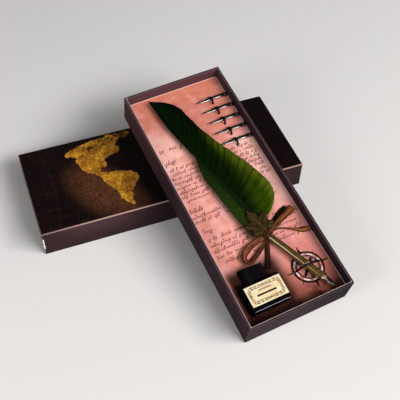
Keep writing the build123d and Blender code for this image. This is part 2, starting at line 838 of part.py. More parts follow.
# ---- Leaf charm ----
leaf_height = shaft_height + quill_radius + leaf_above_shaft
leaf_from_knot = ribbon_width / 2 + leaf_base_gap
leaf_at = (knot_at[0] - leaf_from_knot * pen_dir_x, knot_at[1] - leaf_from_knot * pen_dir_y)
leaf_points = [(along * leaf_size, across * leaf_size) for along, across in leaf_half]
with BuildPart() as leaf_charm:
    with BuildSketch(on_tray(leaf_at[0], leaf_at[1], leaf_height, leaf_heading)):
        with BuildLine():
            Polyline((0, 0), *leaf_points, (leaf_size, 0))
            mirror(about=Plane.XZ)
        make_face()
    extrude(amount=leaf_thick)
finish(leaf_charm, "leaf_charm")

charm_ring_height = leaf_height + leaf_thick + charm_ring_wire + rest_gap
charm_ring_plane = upright(leaf_at[0], leaf_at[1], charm_ring_height, leaf_heading)
charm_ring_middle = charm_ring_plane.origin + charm_ring_plane.x_dir * (charm_ring_radius + leaf_base_gap)
with BuildPart() as charm_ring:
    with BuildSketch(charm_ring_plane):
        with Locations((2 * charm_ring_radius + leaf_base_gap, 0)):
            Circle(charm_ring_wire)
    revolve(axis=Axis(charm_ring_middle, tray.z_dir))
finish(charm_ring, "charm_ring")
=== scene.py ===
import math
import random

import bmesh
import bpy
from mathutils import Matrix, Vector, noise


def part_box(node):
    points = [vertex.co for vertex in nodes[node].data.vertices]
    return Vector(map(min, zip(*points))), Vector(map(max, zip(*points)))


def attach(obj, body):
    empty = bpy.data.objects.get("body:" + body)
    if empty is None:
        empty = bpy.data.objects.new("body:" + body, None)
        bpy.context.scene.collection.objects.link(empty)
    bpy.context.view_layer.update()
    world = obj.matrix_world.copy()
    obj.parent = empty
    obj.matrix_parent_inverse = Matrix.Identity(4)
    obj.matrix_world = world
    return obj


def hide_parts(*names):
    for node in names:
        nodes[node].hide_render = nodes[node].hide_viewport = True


# A quill pen set in a two-piece card box: the lid lies flat and the tray leans on its front edge.
# Pieces on the tray are laid out in millimetres on the tray's own axes: X across it, Y towards its back,
# Z square to its bottom. place() turns them into metres in the model's frame.

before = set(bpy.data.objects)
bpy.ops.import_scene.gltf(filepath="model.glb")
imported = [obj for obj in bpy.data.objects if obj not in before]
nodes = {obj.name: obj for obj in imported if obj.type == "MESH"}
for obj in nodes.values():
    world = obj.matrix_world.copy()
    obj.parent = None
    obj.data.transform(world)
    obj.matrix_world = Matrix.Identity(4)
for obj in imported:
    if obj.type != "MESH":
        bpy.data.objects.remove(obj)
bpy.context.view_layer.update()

TRAY_AXES = ((0.993572, 0.111119, 0.02162), (-0.113203, 0.975283, 0.189757), (0.0, -0.190985, 0.981593))
TRAY_ORIGIN = (0.0502, 0.00335179, 0.0288103)
LID_CENTRE_Y = 0.0828414
MILLIMETRE = 0.001

TRAY_INNER = (55.45, 142.8)
TRAY_OUTER = (57.65, 145.0)
TRAY_HEIGHT = 35.2
CARD_TOP = 22.0
COMPASS = (30.2, -108.2)
LID_HALF = (147.1, 59.75)
LID_HEIGHT = 32.6

UP = Vector((0, 0, 1))

tray_matrix = Matrix.Translation(Vector(TRAY_ORIGIN)) @ (
    Matrix(TRAY_AXES).transposed() * MILLIMETRE).to_4x4()


def place(x, y, z):
    """Metres in the model's frame, of a point given in millimetres on the tray."""
    return tray_matrix @ Vector((x, y, z))


# ---- Camera, stage and light ----
def set_camera():
    """Camera whose place, direction and lens were fitted to the box's outlines."""
    ahead = Vector((0.23712533, 0.5970603, -0.76634886))
    right = Vector((0.93652485, -0.35019132, 0.01694845))
    up = right.cross(ahead)
    lens = bpy.data.cameras.new("view")
    lens.lens = 64.06
    lens.sensor_width = 36.0
    lens.clip_start = 0.01
    holder = bpy.data.objects.new("view", lens)
    bpy.context.scene.collection.objects.link(holder)
    holder.matrix_world = Matrix.Translation((-0.158216, -0.439081, 0.612670)) @ Matrix(
        (right, up, -ahead)).transposed().to_4x4()
    bpy.context.scene.camera = holder


BACKDROP = (222, 220, 218)
FLOOR_PAINT = (210, 208, 206)
FLOOR_SIZE = 40.0
FADE_FROM, FADE_TO = 0.55, 1.35
SKY_STRENGTH = 0.6
BLACK = (0, 0, 0)


def add_softbox(name, spot, aim, size, watts):
    """Flat lamp at spot, turned towards aim. Lengths are in metres."""
    light = bpy.data.lights.new(name, "AREA")
    light.shape = "RECTANGLE"
    light.size, light.size_y = size
    light.energy = watts
    holder = bpy.data.objects.new(name, light)
    bpy.context.scene.collection.objects.link(holder)
    holder.location = spot
    holder.rotation_euler = (Vector(aim) - Vector(spot)).to_track_quat("-Z", "Y").to_euler()
    return holder


def set_stage():
    """Floor that fades into the pale backdrop, the sky and three softboxes. Only the eye, metal and glass see
    the backdrop, so that it throws no light of its own."""
    bpy.ops.mesh.primitive_plane_add(size=FLOOR_SIZE, location=(0, 0, -0.0002))
    floor = bpy.context.object
    floor.name = "floor"
    recipe = Recipe("pale_floor")
    away = recipe.fade(recipe.vector("LENGTH", recipe.at()), FADE_FROM, FADE_TO)
    shown = away * recipe.seen_rays()
    recipe.surface(recipe.blend(shown, FLOOR_PAINT, BLACK), 0.9, specular_ior_level=0.1,
                   emission_color=recipe.blend(shown, BLACK, BACKDROP), emission_strength=1.0)
    floor.data.materials.append(recipe.material)

    world = bpy.data.worlds.new("studio")
    bpy.context.scene.world = world
    world.use_nodes = True
    sky = Bench(world.node_tree)
    towards = sky.at("Generated")
    front = sky.fade(sky.vector("DOT_PRODUCT", towards, (0.35, -0.75, 0.56)), 0.40, 0.95)
    studio = sky.blend(front, (0.10, 0.10, 0.10, 1.0), (1.0, 0.98, 0.96, 1.0))
    low = sky.fade(sky.split(towards)[2], 0.22, 0.10)
    pale = tuple(part / SKY_STRENGTH for part in paint(*BACKDROP)[:3]) + (1.0,)
    backdrop = world.node_tree.nodes["Background"]
    sky.feed(backdrop.inputs["Color"], sky.blend(sky.seen_rays(low), studio, pale))
    backdrop.inputs["Strength"].default_value = SKY_STRENGTH
    key = add_softbox("key_softbox", (1.262, -1.568, 1.662), (0.03, 0.0, 0.03), (2.08, 0.72), 89.6)
    key.visible_glossy = False
    add_softbox("side_softbox", (-0.92, -0.42, 0.64), (0.05, -0.08, 0.05), (0.38, 0.38), 5.0)
    add_softbox("front_strip", (0.93, -1.92, 0.636), (0.05, 0.0, 0.06), (2.08, 0.144), 5.63)
    bpy.context.scene.view_settings.view_transform = "Standard"


# ---- Colour and node helpers ----
def paint(red, green, blue):
    """Linear colour of a paint swatch written as 0 to 255."""
    linear = []
    for part in (red, green, blue):
        part = part / 255
        linear.append(part / 12.92 if part <= 0.04045 else ((part + 0.055) / 1.055) ** 2.4)
    return (*linear, 1.0)


def reckon(operation, swapped=False):
    """A method that adds a math node, so that wires can be reckoned with like numbers."""
    def run(self, *others):
        values = (self, *others)
        return self.bench.sum(operation, *(values[::-1] if swapped else values))
    return run


class Wire:
    """An output of a node. With a tuple of three numbers it is reckoned with as a vector."""

    def __init__(self, bench, socket):
        self.bench, self.socket = bench, socket

    __add__, __radd__ = reckon("ADD"), reckon("ADD", True)
    __sub__, __rsub__ = reckon("SUBTRACT"), reckon("SUBTRACT", True)
    __mul__, __rmul__ = reckon("MULTIPLY"), reckon("MULTIPLY", True)
    __truediv__, __pow__ = reckon("DIVIDE"), reckon("POWER")
    __lt__, __gt__, __abs__ = reckon("LESS_THAN"), reckon("GREATER_THAN"), reckon("ABSOLUTE")


def chosen(operation):
    """A method of a bench that adds a math node."""
    return lambda self, *values: self.sum(operation, *values)


class Bench:
    """Adds nodes to one node tree and joins them up."""

    def __init__(self, tree):
        self.tree = tree

    def add(self, kind, inputs=(), **settings):
        node = self.tree.nodes.new(kind)
        for name, value in settings.items():
            setattr(node, name, value)
        for name, value in dict(inputs).items():
            self.feed(node.inputs[name], value)
        return node

    def feed(self, socket, value):
        """A colour of three numbers is a paint swatch from 0 to 255, one of four is linear."""
        if isinstance(value, Wire):
            self.tree.links.new(value.socket, socket)
        elif socket.type == "RGBA" and len(value) == 3:
            socket.default_value = paint(*value)
        else:
            socket.default_value = value

    def wire(self, kind, output, inputs=(), **settings):
        return Wire(self, self.add(kind, inputs, **settings).outputs[output])

    def wires(self, node):
        return {socket.name: Wire(self, socket) for socket in node.outputs}

    def sum(self, operation, *values):
        if any(isinstance(value, tuple) for value in values):
            return self.vector(operation, *values)
        return self.wire("ShaderNodeMath", 0, dict(enumerate(values)), operation=operation)

    most, least = chosen("MAXIMUM"), chosen("MINIMUM")
    sine, turn_to = chosen("SINE"), chosen("ARCTAN2")
    floor, fraction = chosen("FLOOR"), chosen("FRACT")

    def vector(self, operation, *values):
        output = "Value" if operation in ("LENGTH", "DOT_PRODUCT") else "Vector"
        return self.wire("ShaderNodeVectorMath", output, dict(enumerate(values)), operation=operation)

    def split(self, vector):
        return tuple(self.wires(self.add("ShaderNodeSeparateXYZ", {0: vector})).values())

    def join(self, x=0.0, y=0.0, z=0.0):
        return self.wire("ShaderNodeCombineXYZ", 0, {0: x, 1: y, 2: z})

    def noise(self, place, scale, detail=3.0, rough=0.55, warp=0.0, output="Fac"):
        return self.wire("ShaderNodeTexNoise", output, {
            "Vector": place, "Scale": scale, "Detail": detail, "Roughness": rough, "Distortion": warp})

    def seen_rays(self, mirrored=1.0):
        """1 for what the eye sees, and as much as mirrored says for what metal and glass show."""
        path = self.wires(self.add("ShaderNodeLightPath"))
        shiny = self.most(path["Is Glossy Ray"], path["Is Transmission Ray"])
        return self.most(path["Is Camera Ray"], shiny * mirrored)

    def fade(self, value, low, high, smooth=True):
        """0 at low, 1 at high."""
        kind = "SMOOTHSTEP" if smooth else "LINEAR"
        return self.wire("ShaderNodeMapRange", 0, {0: value, 1: low, 2: high}, interpolation_type=kind)

    def blend(self, mask, first, second):
        return self.wire("ShaderNodeMix", 2, {0: mask, 6: first, 7: second}, data_type="RGBA")

    def ramp(self, value, stops):
        node = self.add("ShaderNodeValToRGB", {0: value})
        elements = node.color_ramp.elements
        while len(elements) < len(stops):
            elements.new(0.5)
        for element, (spot, colour) in zip(elements, stops):
            element.position = spot
            element.color = paint(*colour)
        return Wire(self, node.outputs[0])

    def curve(self, value, points):
        node = self.add("ShaderNodeFloatCurve", {1: value})
        line = node.mapping.curves[0]
        while len(line.points) < len(points):
            line.points.new(0.5, 0.5)
        for point, spot in zip(line.points, points):
            point.location = spot
            point.handle_type = "AUTO"
        node.mapping.update()
        return Wire(self, node.outputs[0])

    def bump(self, height, depth):
        """depth is in metres."""
        return self.wire("ShaderNodeBump", 0, {"Height": height, "Distance": depth, "Strength": 1.0})

    def effect(self, group, **inputs):
        return self.wires(self.add("ShaderNodeGroup", inputs, node_tree=group))

    def at(self, output="Object"):
        """Place on the model in metres or, as Generated, the way one looks at the sky."""
        return self.wire("ShaderNodeTexCoord", output)

    def uv(self):
        return self.wire("ShaderNodeUVMap", 0, uv_map="lay")

    # The painted shade that a piece holds in its tone attribute.
    def tone(self):
        return self.wire("ShaderNodeAttribute", "Fac", attribute_name="tone")


class Recipe(Bench):
    """One material, whose shader is set by surface()."""

    def __init__(self, name):
        self.material = bpy.data.materials.new(name)
        self.material.use_nodes = True
        super().__init__(self.material.node_tree)
        self.shader = self.tree.nodes["Principled BSDF"]

    def surface(self, base, roughness, **others):
        self.feed(self.shader.inputs["Base Color"], base)
        self.feed(self.shader.inputs["Roughness"], roughness)
        for name, value in others.items():
            self.feed(self.shader.inputs[name.replace("_", " ").title().replace("Ior", "IOR")], value)
        return self.material


def group_tree(name, inputs, outputs):
    """A shared effect: inputs and outputs are {name: socket type}, vectors and numbers."""
    tree = bpy.data.node_groups.new(name, "ShaderNodeTree")
    for direction, sockets in (("INPUT", inputs), ("OUTPUT", outputs)):
        for label, kind in sockets.items():
            tree.interface.new_socket(name=label, in_out=direction, socket_type=f"NodeSocket{kind}")
    bench = Bench(tree)
    return tree, bench, bench.wires(bench.add("NodeGroupInput")), bench.add("NodeGroupOutput").inputs


# ---- Shared effects ----
def make_tray_place():
    """Place in millimetres on the tray's own axes."""
    tree, b, _, out = group_tree("tray_place", {}, {"Place": "Vector"})
    offset = b.at() - TRAY_ORIGIN
    parts = [b.vector("DOT_PRODUCT", offset, axis) * (1.0 / MILLIMETRE) for axis in TRAY_AXES]
    b.feed(out["Place"], b.join(*parts))
    return tree


def make_lid_place():
    """Place in millimetres from the middle of the lid, up from the table."""
    tree, b, _, out = group_tree("lid_place", {}, {"Place": "Vector"})
    b.feed(out["Place"], (b.at() - (0.0, LID_CENTRE_Y, 0.0)) * ((1.0 / MILLIMETRE,) * 3))
    return tree


def make_box_edge_mask():
    """Mask of a box's edges, for worn edges and for painted edge highlights: high where two of its faces
    meet.
    """
    tree, b, given, out = group_tree(
        "box_wear", {"Place": "Vector", "Half": "Vector", "Width": "Float", "Ragged": "Float"},
        {"Mask": "Float"})
    inward = b.vector("SUBTRACT", given["Half"], b.vector("ABSOLUTE", given["Place"]))
    distance = b.split(b.vector("ABSOLUTE", inward))
    low = b.least(distance[0], distance[1])
    high = b.most(distance[0], distance[1])
    middle = b.most(low, b.least(high, distance[2]))
    uneven = b.noise(given["Place"], 0.22, 5.0, 0.7) * given["Ragged"]
    reach = given["Width"] + given["Ragged"] * 0.5 - uneven
    b.feed(out["Mask"], 1.0 - b.fade(middle / reach, 0.0, 1.0))
    return tree


def make_paper_grain():
    """Fibres and soft mottling of paper and card."""
    tree, b, given, out = group_tree(
        "paper_grain", {"Place": "Vector", "Fibre": "Float"}, {"Tone": "Float", "Height": "Float"})
    stretched = given["Place"] * (1.0, 0.35, 1.0)
    fibres = b.noise(stretched, given["Fibre"], 4.0, 0.65, 0.6)
    mottle = b.noise(given["Place"], 0.045, 4.0, 0.6)
    b.feed(out["Tone"], mottle * 0.7 + fibres * 0.3)
    b.feed(out["Height"], fibres)
    return tree


def make_metal_wear():
    """Fine scratches and tarnish on metal."""
    tree, b, given, out = group_tree(
        "metal_wear", {"Place": "Vector", "Scale": "Float"}, {"Scratch": "Float", "Tarnish": "Float"})
    lines = given["Place"] * (6.0, 0.7, 2.0)
    b.feed(out["Scratch"], b.noise(lines, given["Scale"], 3.0, 0.7))
    b.feed(out["Tarnish"], b.fade(b.noise(given["Place"], given["Scale"] * 0.6, 4.0, 0.65, 0.8), 0.35, 0.7))
    return tree


def make_threads():
    """Crossing threads of woven ribbon and elastic, laid out along the strip."""
    tree, b, given, out = group_tree(
        "threads", {"Lay": "Vector", "Along": "Float", "Across": "Float"},
        {"Height": "Float", "Gap": "Float"})
    lay = b.split(given["Lay"])
    warp = abs(b.sine(lay[1] * given["Across"]))
    weft = abs(b.sine(lay[0] * given["Along"]))
    b.feed(out["Height"], b.most(warp, weft))
    b.feed(out["Gap"], 1.0 - b.fade(b.most(warp, weft), 0.2, 0.75))
    return tree


def make_pen_rows():
    """Rows of quick slanted pen strokes that spell nothing. Lengths are in millimetres."""
    tree, b, given, out = group_tree(
        "pen_rows",
        {"Place": "Vector", "First": "Float", "Pitch": "Float", "Rows": "Float", "Left": "Float",
         "Right": "Float", "Size": "Float"},
        {"Ink": "Float"})
    spot = b.split(given["Place"])
    wobble = (b.noise(given["Place"], 0.06, 1.0) - 0.5) * 2.2
    down = given["First"] - spot[1] - wobble
    turn = down / given["Pitch"] + 0.5
    row = b.floor(turn)
    rise = (0.5 - b.fraction(turn)) * given["Pitch"]
    along = spot[0] - rise * 0.45
    cell_width = given["Size"] * 0.62
    cell_turn = along / cell_width
    cell = b.floor(cell_turn)
    across = (b.fraction(cell_turn) - 0.5) * cell_width
    draw = b.wire("ShaderNodeTexWhiteNoise", "Color", {0: b.join(cell, row, given["First"])},
                  noise_dimensions="3D")
    chance = b.split(draw)
    tall = chance[0] > 0.72
    low = chance[0] < 0.12
    half_rise = given["Size"] * (0.2 + b.most(tall, low) * 0.24)
    lift = given["Size"] * (tall - low) * 0.24
    half_width = cell_width * (0.16 + chance[1] * 0.22)
    level = (rise - lift) / half_rise
    side = across / half_width
    ring = abs(b.vector("LENGTH", b.join(side, level)) - 1.0)
    stroke = given["Size"] * 0.085 / half_width
    loop = ring < stroke
    broken = b.noise(given["Place"], 0.9, 1.0) > 0.42
    joint = abs(rise + given["Size"] * 0.2) < 0.14
    letter = b.most(loop * broken, joint)
    inside = (spot[0] > given["Left"]) * (spot[0] < given["Right"])
    rows = (row > -0.5) * (row < given["Rows"] - 0.5)
    word = chance[2] > 0.17
    b.feed(out["Ink"], letter * word * inside * rows)
    return tree


def make_world_map():
    """Mask of a plain old-style map of two joined continents on the lid's top, in millimetres."""
    tree, b, given, out = group_tree("world_map", {"Place": "Vector"}, {"Land": "Float", "Coast": "Float"})
    shift = b.noise(given["Place"], 0.13, 6.0, 0.8, output="Color")
    warp = (shift - (0.5, 0.5, 0.5)) * (16.0, 14.0, 0.0)
    spot = b.split(b.vector("ADD", given["Place"], warp))
    height = b.fade(spot[1], -60.0, 60.0, smooth=False)
    west = [(-51, -47), (-43, -54), (-27, -58), (-12, -66), (-4, -68), (3, -73), (9, -81), (14, -85),
            (26, -89), (34, -88), (38, -99), (42, -97), (49, -84), (54, -66), (57, -50)]
    east = [(-51, -45), (-40, -44), (-32, -42), (-22, -35), (-14, -29), (-8, -32), (-3, -40), (1, -55),
            (4, -67), (8, -66), (11, -59), (20, -59), (27, -46), (32, -38), (40, -41), (46, -37), (51, -22),
            (55, -19), (57, -24)]
    sides = []
    for coast in (west, east):
        points = [((y + 60) / 120, (x + 120) / 120) for y, x in coast]
        points = [(0.0, points[0][1])] + points + [(1.0, points[-1][1])]
        sides.append(b.curve(height, points) * 120.0 - 120.0)
    inward = b.least(spot[0] - sides[0], sides[1] - spot[0])
    ends = b.least(spot[1] + 51.0, 57.0 - spot[1])
    depth = b.least(inward, ends)
    b.feed(out["Land"], b.fade(depth, -0.2, 0.5))
    b.feed(out["Coast"], 1.0 - b.fade(abs(depth - 0.6), 0.0, 1.4))
    return tree


tray_place = make_tray_place()
lid_place = make_lid_place()
box_wear = make_box_edge_mask()
paper_grain = make_paper_grain()
metal_wear = make_metal_wear()
threads = make_threads()
pen_rows = make_pen_rows()
world_map = make_world_map()


# ---- Materials ----
def on_tray(name, effect=None, **given):
    """A recipe, the place on the tray and, where one is asked for, a shared effect laid over it."""
    r = Recipe(name)
    spot = r.effect(tray_place)["Place"]
    return (r, spot, r.effect(effect, Place=spot, **given)) if effect else (r, spot)


def lid_print():
    r = Recipe("lid_print")
    spot = r.effect(lid_place)["Place"]
    x, y, z = r.split(spot)
    grain = r.effect(paper_grain, Place=spot, Fibre=1.4)
    land = r.effect(world_map, Place=spot)
    top = z > LID_HEIGHT - 0.25
    dark = r.blend(r.fade(grain["Tone"], 0.35, 0.65), (11, 5, 5), (19, 9, 8))
    # Painted sheen: a soft lighter patch on the lid's top, broken by a fine cross-hatch.
    glow_x = ((x + 78.0 + y * 0.4) * 0.033) ** 2.0
    glow_y = ((y + 24.0) * 0.023) ** 2.0
    painted_sheen = r.fade(glow_x + glow_y, 1.9, -0.2)
    hatch_a = r.noise(spot * (0.16, 2.4, 1.0), 1.0, 2.0)
    hatch_b = r.noise(spot * (2.4, 0.16, 1.0), 1.0, 2.0)
    hatch = r.fade(hatch_a + hatch_b, 0.85, 1.2)
    dark = r.blend(painted_sheen * (0.2 + hatch * 0.8), dark, (98, 58, 36))
    bend = (y * 0.02) ** 2.0 * 5.0
    meridian = abs(r.sine((x + bend) * 0.314))
    parallel = abs(r.sine((y + x * 0.04) * 0.26))
    lines = 1.0 - r.fade(r.least(meridian, parallel), 0.02, 0.10)
    worn = r.fade(r.noise(spot, 0.08, 4.0, 0.7), 0.42, 0.62)
    left = r.fade(abs(x + 114.0), 32.0, 14.0)
    lines = lines * worn * (0.04 + left * 0.2)
    dark = r.blend(lines, dark, (104, 76, 58))
    specks = r.fade(r.noise(spot, 0.95, 5.0, 0.85), 0.66, 0.74)
    dark = r.blend(specks * left * 0.4, dark, (120, 92, 70))
    speckle = r.fade(r.noise(spot, 0.42, 5.0, 0.9), 0.40, 0.60)
    drift = r.fade(r.noise(spot, 0.06, 3.0, 0.6), 0.38, 0.62)
    gold = r.blend(drift, (140, 84, 12), (208, 148, 36))
    gold = r.blend((1.0 - speckle) * 0.7, gold, (70, 36, 8))
    glints = r.fade(r.noise(spot + (40.0, 0.0, 0.0), 0.5, 4.0, 0.9), 0.56, 0.66)
    gold = r.blend(glints * 0.85, gold, (240, 200, 112))
    gold = r.blend(land["Coast"] * 0.35, gold, (206, 156, 66))
    north = r.fade(y, 18.0, 52.0)
    lakes = r.noise(spot, 0.11, 5.0, 0.75) < 0.33 + north * 0.14
    shore = land["Land"] * (1.0 - lakes * 0.85)
    printed = r.blend(shore, dark, gold)
    side = r.blend(r.fade(grain["Tone"], 0.3, 0.7), (34, 20, 22), (44, 26, 29))
    # Painted light on the lid's sides: lighter round x = -84 and towards the top.
    painted_side_light = r.fade(abs(x + 84.0), 62.0, 8.0) * r.fade(z, 2.0, 30.0)
    side = r.blend(painted_side_light * 0.5, side, (76, 50, 53))
    colour = r.blend(top, side, printed)
    # Lighter edges: worn paper, and a painted highlight along them.
    wear = r.effect(box_wear, Place=spot, Half=(*LID_HALF, LID_HEIGHT), Width=0.7, Ragged=0.6)["Mask"]
    colour = r.blend(wear * 0.6, colour, (150, 124, 120))
    # Front top edge: a band of rubbed wear and painted highlight, stronger towards the right.
    front = y < 4.0 - LID_HALF[1]
    high = abs(z - LID_HEIGHT) + abs(y + LID_HALF[1])
    painted_glint = r.fade(high, 1.1 + r.noise(spot, 0.12, 4.0, 0.7), 0.3) * front
    edge_wear_and_glint = painted_glint * (0.35 + r.fade(x, -150.0, -70.0) * 0.5)
    colour = r.blend(edge_wear_and_glint, colour, (190, 154, 142))
    corner = abs(x + LID_HALF[0]) + abs(y + LID_HALF[1])
    chipped = r.fade(corner, 1.6, 0.7) * r.fade(abs(z - 17.0), 9.0, 6.0)
    colour = r.blend(chipped * r.fade(r.noise(spot, 0.6, 3.0), 0.35, 0.5), colour, (236, 226, 222))
    rough = r.blend(land["Land"], (0.6, 0.6, 0.6, 1.0), (0.42, 0.42, 0.42, 1.0))
    return r.surface(colour, rough, normal=r.bump(grain["Height"], 0.00006), specular_ior_level=0.12)


def tray_paper():
    r, spot, grain = on_tray("tray_paper", paper_grain, Fibre=1.4)
    x, y, z = r.split(spot)
    colour = r.blend(r.fade(grain["Tone"], 0.3, 0.7), (43, 29, 35), (53, 37, 43))
    # Painted shade: the outer front wall darkens towards its right end.
    painted_front_shade = r.fade(x, -30.0, 62.0) * (y < 1.0 - TRAY_OUTER[1])
    colour = r.blend(painted_front_shade * 0.85, colour, (17, 11, 15))
    # Painted light: the outer left wall turns lighter and redder towards the back.
    painted_left_light = r.fade(y, 20.0, 90.0) * (x < 1.0 - TRAY_OUTER[0])
    colour = r.blend(painted_left_light * 0.6, colour, (82, 52, 52))
    # Painted light: inside the tray, lighter towards the back wall, which faces the light.
    inside = (abs(x) < TRAY_INNER[0] + 0.4) * (abs(y) < TRAY_INNER[1] + 0.4)
    painted_back_light = r.fade(y, 80.0, 142.0)
    colour = r.blend(inside * painted_back_light * 0.65, colour, (90, 58, 62))
    # Lighter rim edges: faint wear on the outer edges, and a painted highlight on the inner rim edges,
    # strongest on the left and front sides, which face the light.
    outer = r.effect(box_wear, Place=spot, Half=(*TRAY_OUTER, TRAY_HEIGHT), Width=0.4, Ragged=0.5)["Mask"]
    inner = r.effect(box_wear, Place=spot, Half=(*TRAY_INNER, TRAY_HEIGHT), Width=0.6, Ragged=0.3)["Mask"]
    lit = r.most(x < -TRAY_INNER[0] + 1.0, y < -TRAY_INNER[1] + 1.0)
    within = (abs(x) < TRAY_INNER[0] + 0.7) * (abs(y) < TRAY_INNER[1] + 0.7)
    rim = (z > TRAY_HEIGHT - 1.2) * within
    bright = inner * rim * (0.22 + lit * 0.75)
    colour = r.blend(r.most(outer * 0.2, bright), colour, (196, 174, 180))
    return r.surface(colour, 0.7, normal=r.bump(grain["Height"], 0.00006), specular_ior_level=0.06)


def grey_board():
    r, spot, grain = on_tray("grey_board", paper_grain, Fibre=0.9)
    flecks = r.fade(r.noise(spot, 2.2, 2.0, 0.8), 0.62, 0.72)
    colour = r.blend(r.fade(grain["Tone"], 0.3, 0.7), (120, 112, 104), (142, 134, 124))
    colour = r.blend(flecks * 0.5, colour, (84, 78, 74))
    return r.surface(colour, 0.9, normal=r.bump(grain["Height"], 0.00012))


def stay_tape():
    r, _, grain = on_tray("stay_tape", paper_grain, Fibre=2.0)
    colour = r.blend(r.fade(grain["Tone"], 0.3, 0.7), (196, 186, 166), (212, 203, 184))
    return r.surface(colour, 0.7, normal=r.bump(grain["Height"], 0.00004))


def foam():
    r, spot = on_tray("foam")
    cells = r.wire("ShaderNodeTexVoronoi", "Distance", {"Vector": spot, "Scale": 1.6}, feature="F1")
    tone = r.fade(r.noise(spot, 0.3, 3.0), 0.3, 0.7)
    colour = r.blend(tone, (30, 26, 27), (42, 37, 38))
    colour = r.blend(r.fade(cells, 0.5, 0.1), colour, (20, 17, 18))
    return r.surface(colour, 0.95, normal=r.bump(cells, 0.0003))


def aged_card():
    r, spot, grain = on_tray("aged_card", paper_grain, Fibre=1.1)
    x, y, z = r.split(spot)
    # Along the card from front to back: the dark front end is a painted shadow of the front wall; past the
    # middle the card turns darker and more orange.
    length = r.fade(y, -TRAY_INNER[1], TRAY_INNER[1], smooth=False)
    colour = r.ramp(length, [
        (0.0, (24, 8, 8)), (0.02, (38, 13, 12)), (0.045, (86, 42, 36)), (0.075, (146, 84, 76)),
        (0.11, (176, 106, 96)), (0.20, (202, 126, 116)), (0.35, (214, 143, 133)),
        (0.58, (220, 151, 141)), (0.70, (208, 136, 123)), (0.80, (192, 117, 104)),
        (0.92, (192, 116, 99)), (1.0, (198, 117, 97))])
    blotch = r.fade(r.noise(spot, 0.035, 4.0, 0.6, 0.4), 0.35, 0.7)
    colour = r.blend(blotch * 0.3, colour, (184, 112, 92))
    pale = r.fade(r.noise(spot + (90.0, 30.0, 0.0), 0.03, 3.0, 0.5), 0.42, 0.68)
    inner_part = r.fade(y, -126.0, -84.0) * r.fade(y, 84.0, 50.0)
    pale = pale * (0.14 + r.fade(y, -15.0, 40.0) * 0.28)
    colour = r.blend(pale * inner_part, colour, (236, 186, 178))
    # Painted light: brighter pools on the card's left and right.
    left_part = r.fade(x, -14.0, -34.0) * r.fade(y, 24.0, 56.0) * r.fade(y, 112.0, 84.0)
    right_part = r.fade(x, 24.0, 40.0) * r.fade(y, -46.0, -16.0) * r.fade(y, 74.0, 50.0)
    light = r.most(left_part * 0.45, right_part * 0.5)
    colour = r.blend(light, colour, (246, 202, 190))
    cloud = r.noise(spot + (-60.0, 15.0, 0.0), 0.08, 3.0, 0.5)
    colour = r.blend(r.fade(cloud, 0.52, 0.34) * 0.34, colour, (172, 98, 84))
    bright = r.fade(cloud, 0.5, 0.7) * r.fade(y, -110.0, -80.0)
    colour = r.blend(bright * 0.3, colour, (236, 176, 172))
    violet = r.fade(r.noise(spot + (20.0, -70.0, 0.0), 0.04, 3.0, 0.5), 0.5, 0.68)
    colour = r.blend(violet * 0.3 * inner_part, colour, (200, 146, 154))
    # Painted shadow round the bottle and its cap, darkest beside them and gone 17 mm away.
    beside = r.join(r.most(abs(x + 26.5) - 23.5, 0.0), r.most(abs(y + 113.5) - 23.5, 0.0))
    painted_bottle_shadow = r.fade(r.vector("LENGTH", beside), 17.0, 1.0) * r.fade(x, -55.0, -47.0)
    colour = r.blend(painted_bottle_shadow * 0.98, colour, (14, 4, 4))
    colour = r.blend(r.fade(grain["Height"], 0.3, 0.7) * 0.1, colour, (170, 104, 86))
    blocks = [
        (72.35, 9.0, 1.0, -48.5, -12.0, 5.0), (56.2, 9.0, 1.0, -50.5, -36.5, 4.4),
        (46.9, 5.7, 8.0, -51.0, 50.0, 3.7), (-6.2, 9.0, 1.0, -51.0, -36.0, 4.4),
        (-13.3, 5.9, 2.0, -51.5, 44.0, 3.7), (-32.2, 9.0, 1.0, -48.5, -35.0, 4.4),
        (-41.8, 7.0, 5.0, -48.5, 50.0, 3.8),
    ]
    ink = 0.0
    for first, pitch, rows, left, right, size in blocks:
        row = r.effect(pen_rows, Place=spot, First=first, Pitch=pitch, Rows=rows, Left=left, Right=right,
                       Size=size)
        ink = r.most(ink, row["Ink"])
    faded = 0.62 + r.noise(spot, 0.12, 2.0) * 0.5
    colour = r.blend(ink * faded, colour, (84, 34, 32))
    # Pale line along the back and right edges: the card's cut edge, and a painted highlight.
    edge = r.least(TRAY_INNER[0] - x, TRAY_INNER[1] - y)
    cut_edge_and_highlight = r.fade(edge, 1.15, 0.85)
    colour = r.blend(cut_edge_and_highlight * 0.75, colour, (240, 214, 204))
    top = z > CARD_TOP - 0.1
    colour = r.blend(top, (196, 172, 158), colour)
    return r.surface(colour, 0.75, normal=r.bump(grain["Height"], 0.00007), specular_ior_level=0.03)


def elastic():
    r = Recipe("elastic")
    weave = r.effect(threads, Lay=r.uv(), Along=9.0, Across=9.0)
    colour = r.blend(weave["Gap"], (17, 14, 15), (7, 6, 7))
    return r.surface(colour, 0.8, normal=r.bump(weave["Height"], 0.00012), specular_ior_level=0.15)


def old_brass():
    r, _, wear = on_tray("old_brass", metal_wear, Scale=0.35)
    colour = r.blend(wear["Tarnish"], (112, 90, 32), (84, 62, 20))
    rough = 0.24 + wear["Scratch"] * 0.08
    return r.surface(colour, rough, metallic=0.65, coat_weight=1.0, coat_roughness=0.09)


def cream_brass():
    r, _, wear = on_tray("cream_brass", metal_wear, Scale=0.5)
    colour = r.blend(wear["Tarnish"], (226, 204, 178), (186, 158, 128))
    rough = 0.16 + wear["Scratch"] * 0.2
    return r.surface(colour, rough, metallic=1.0)


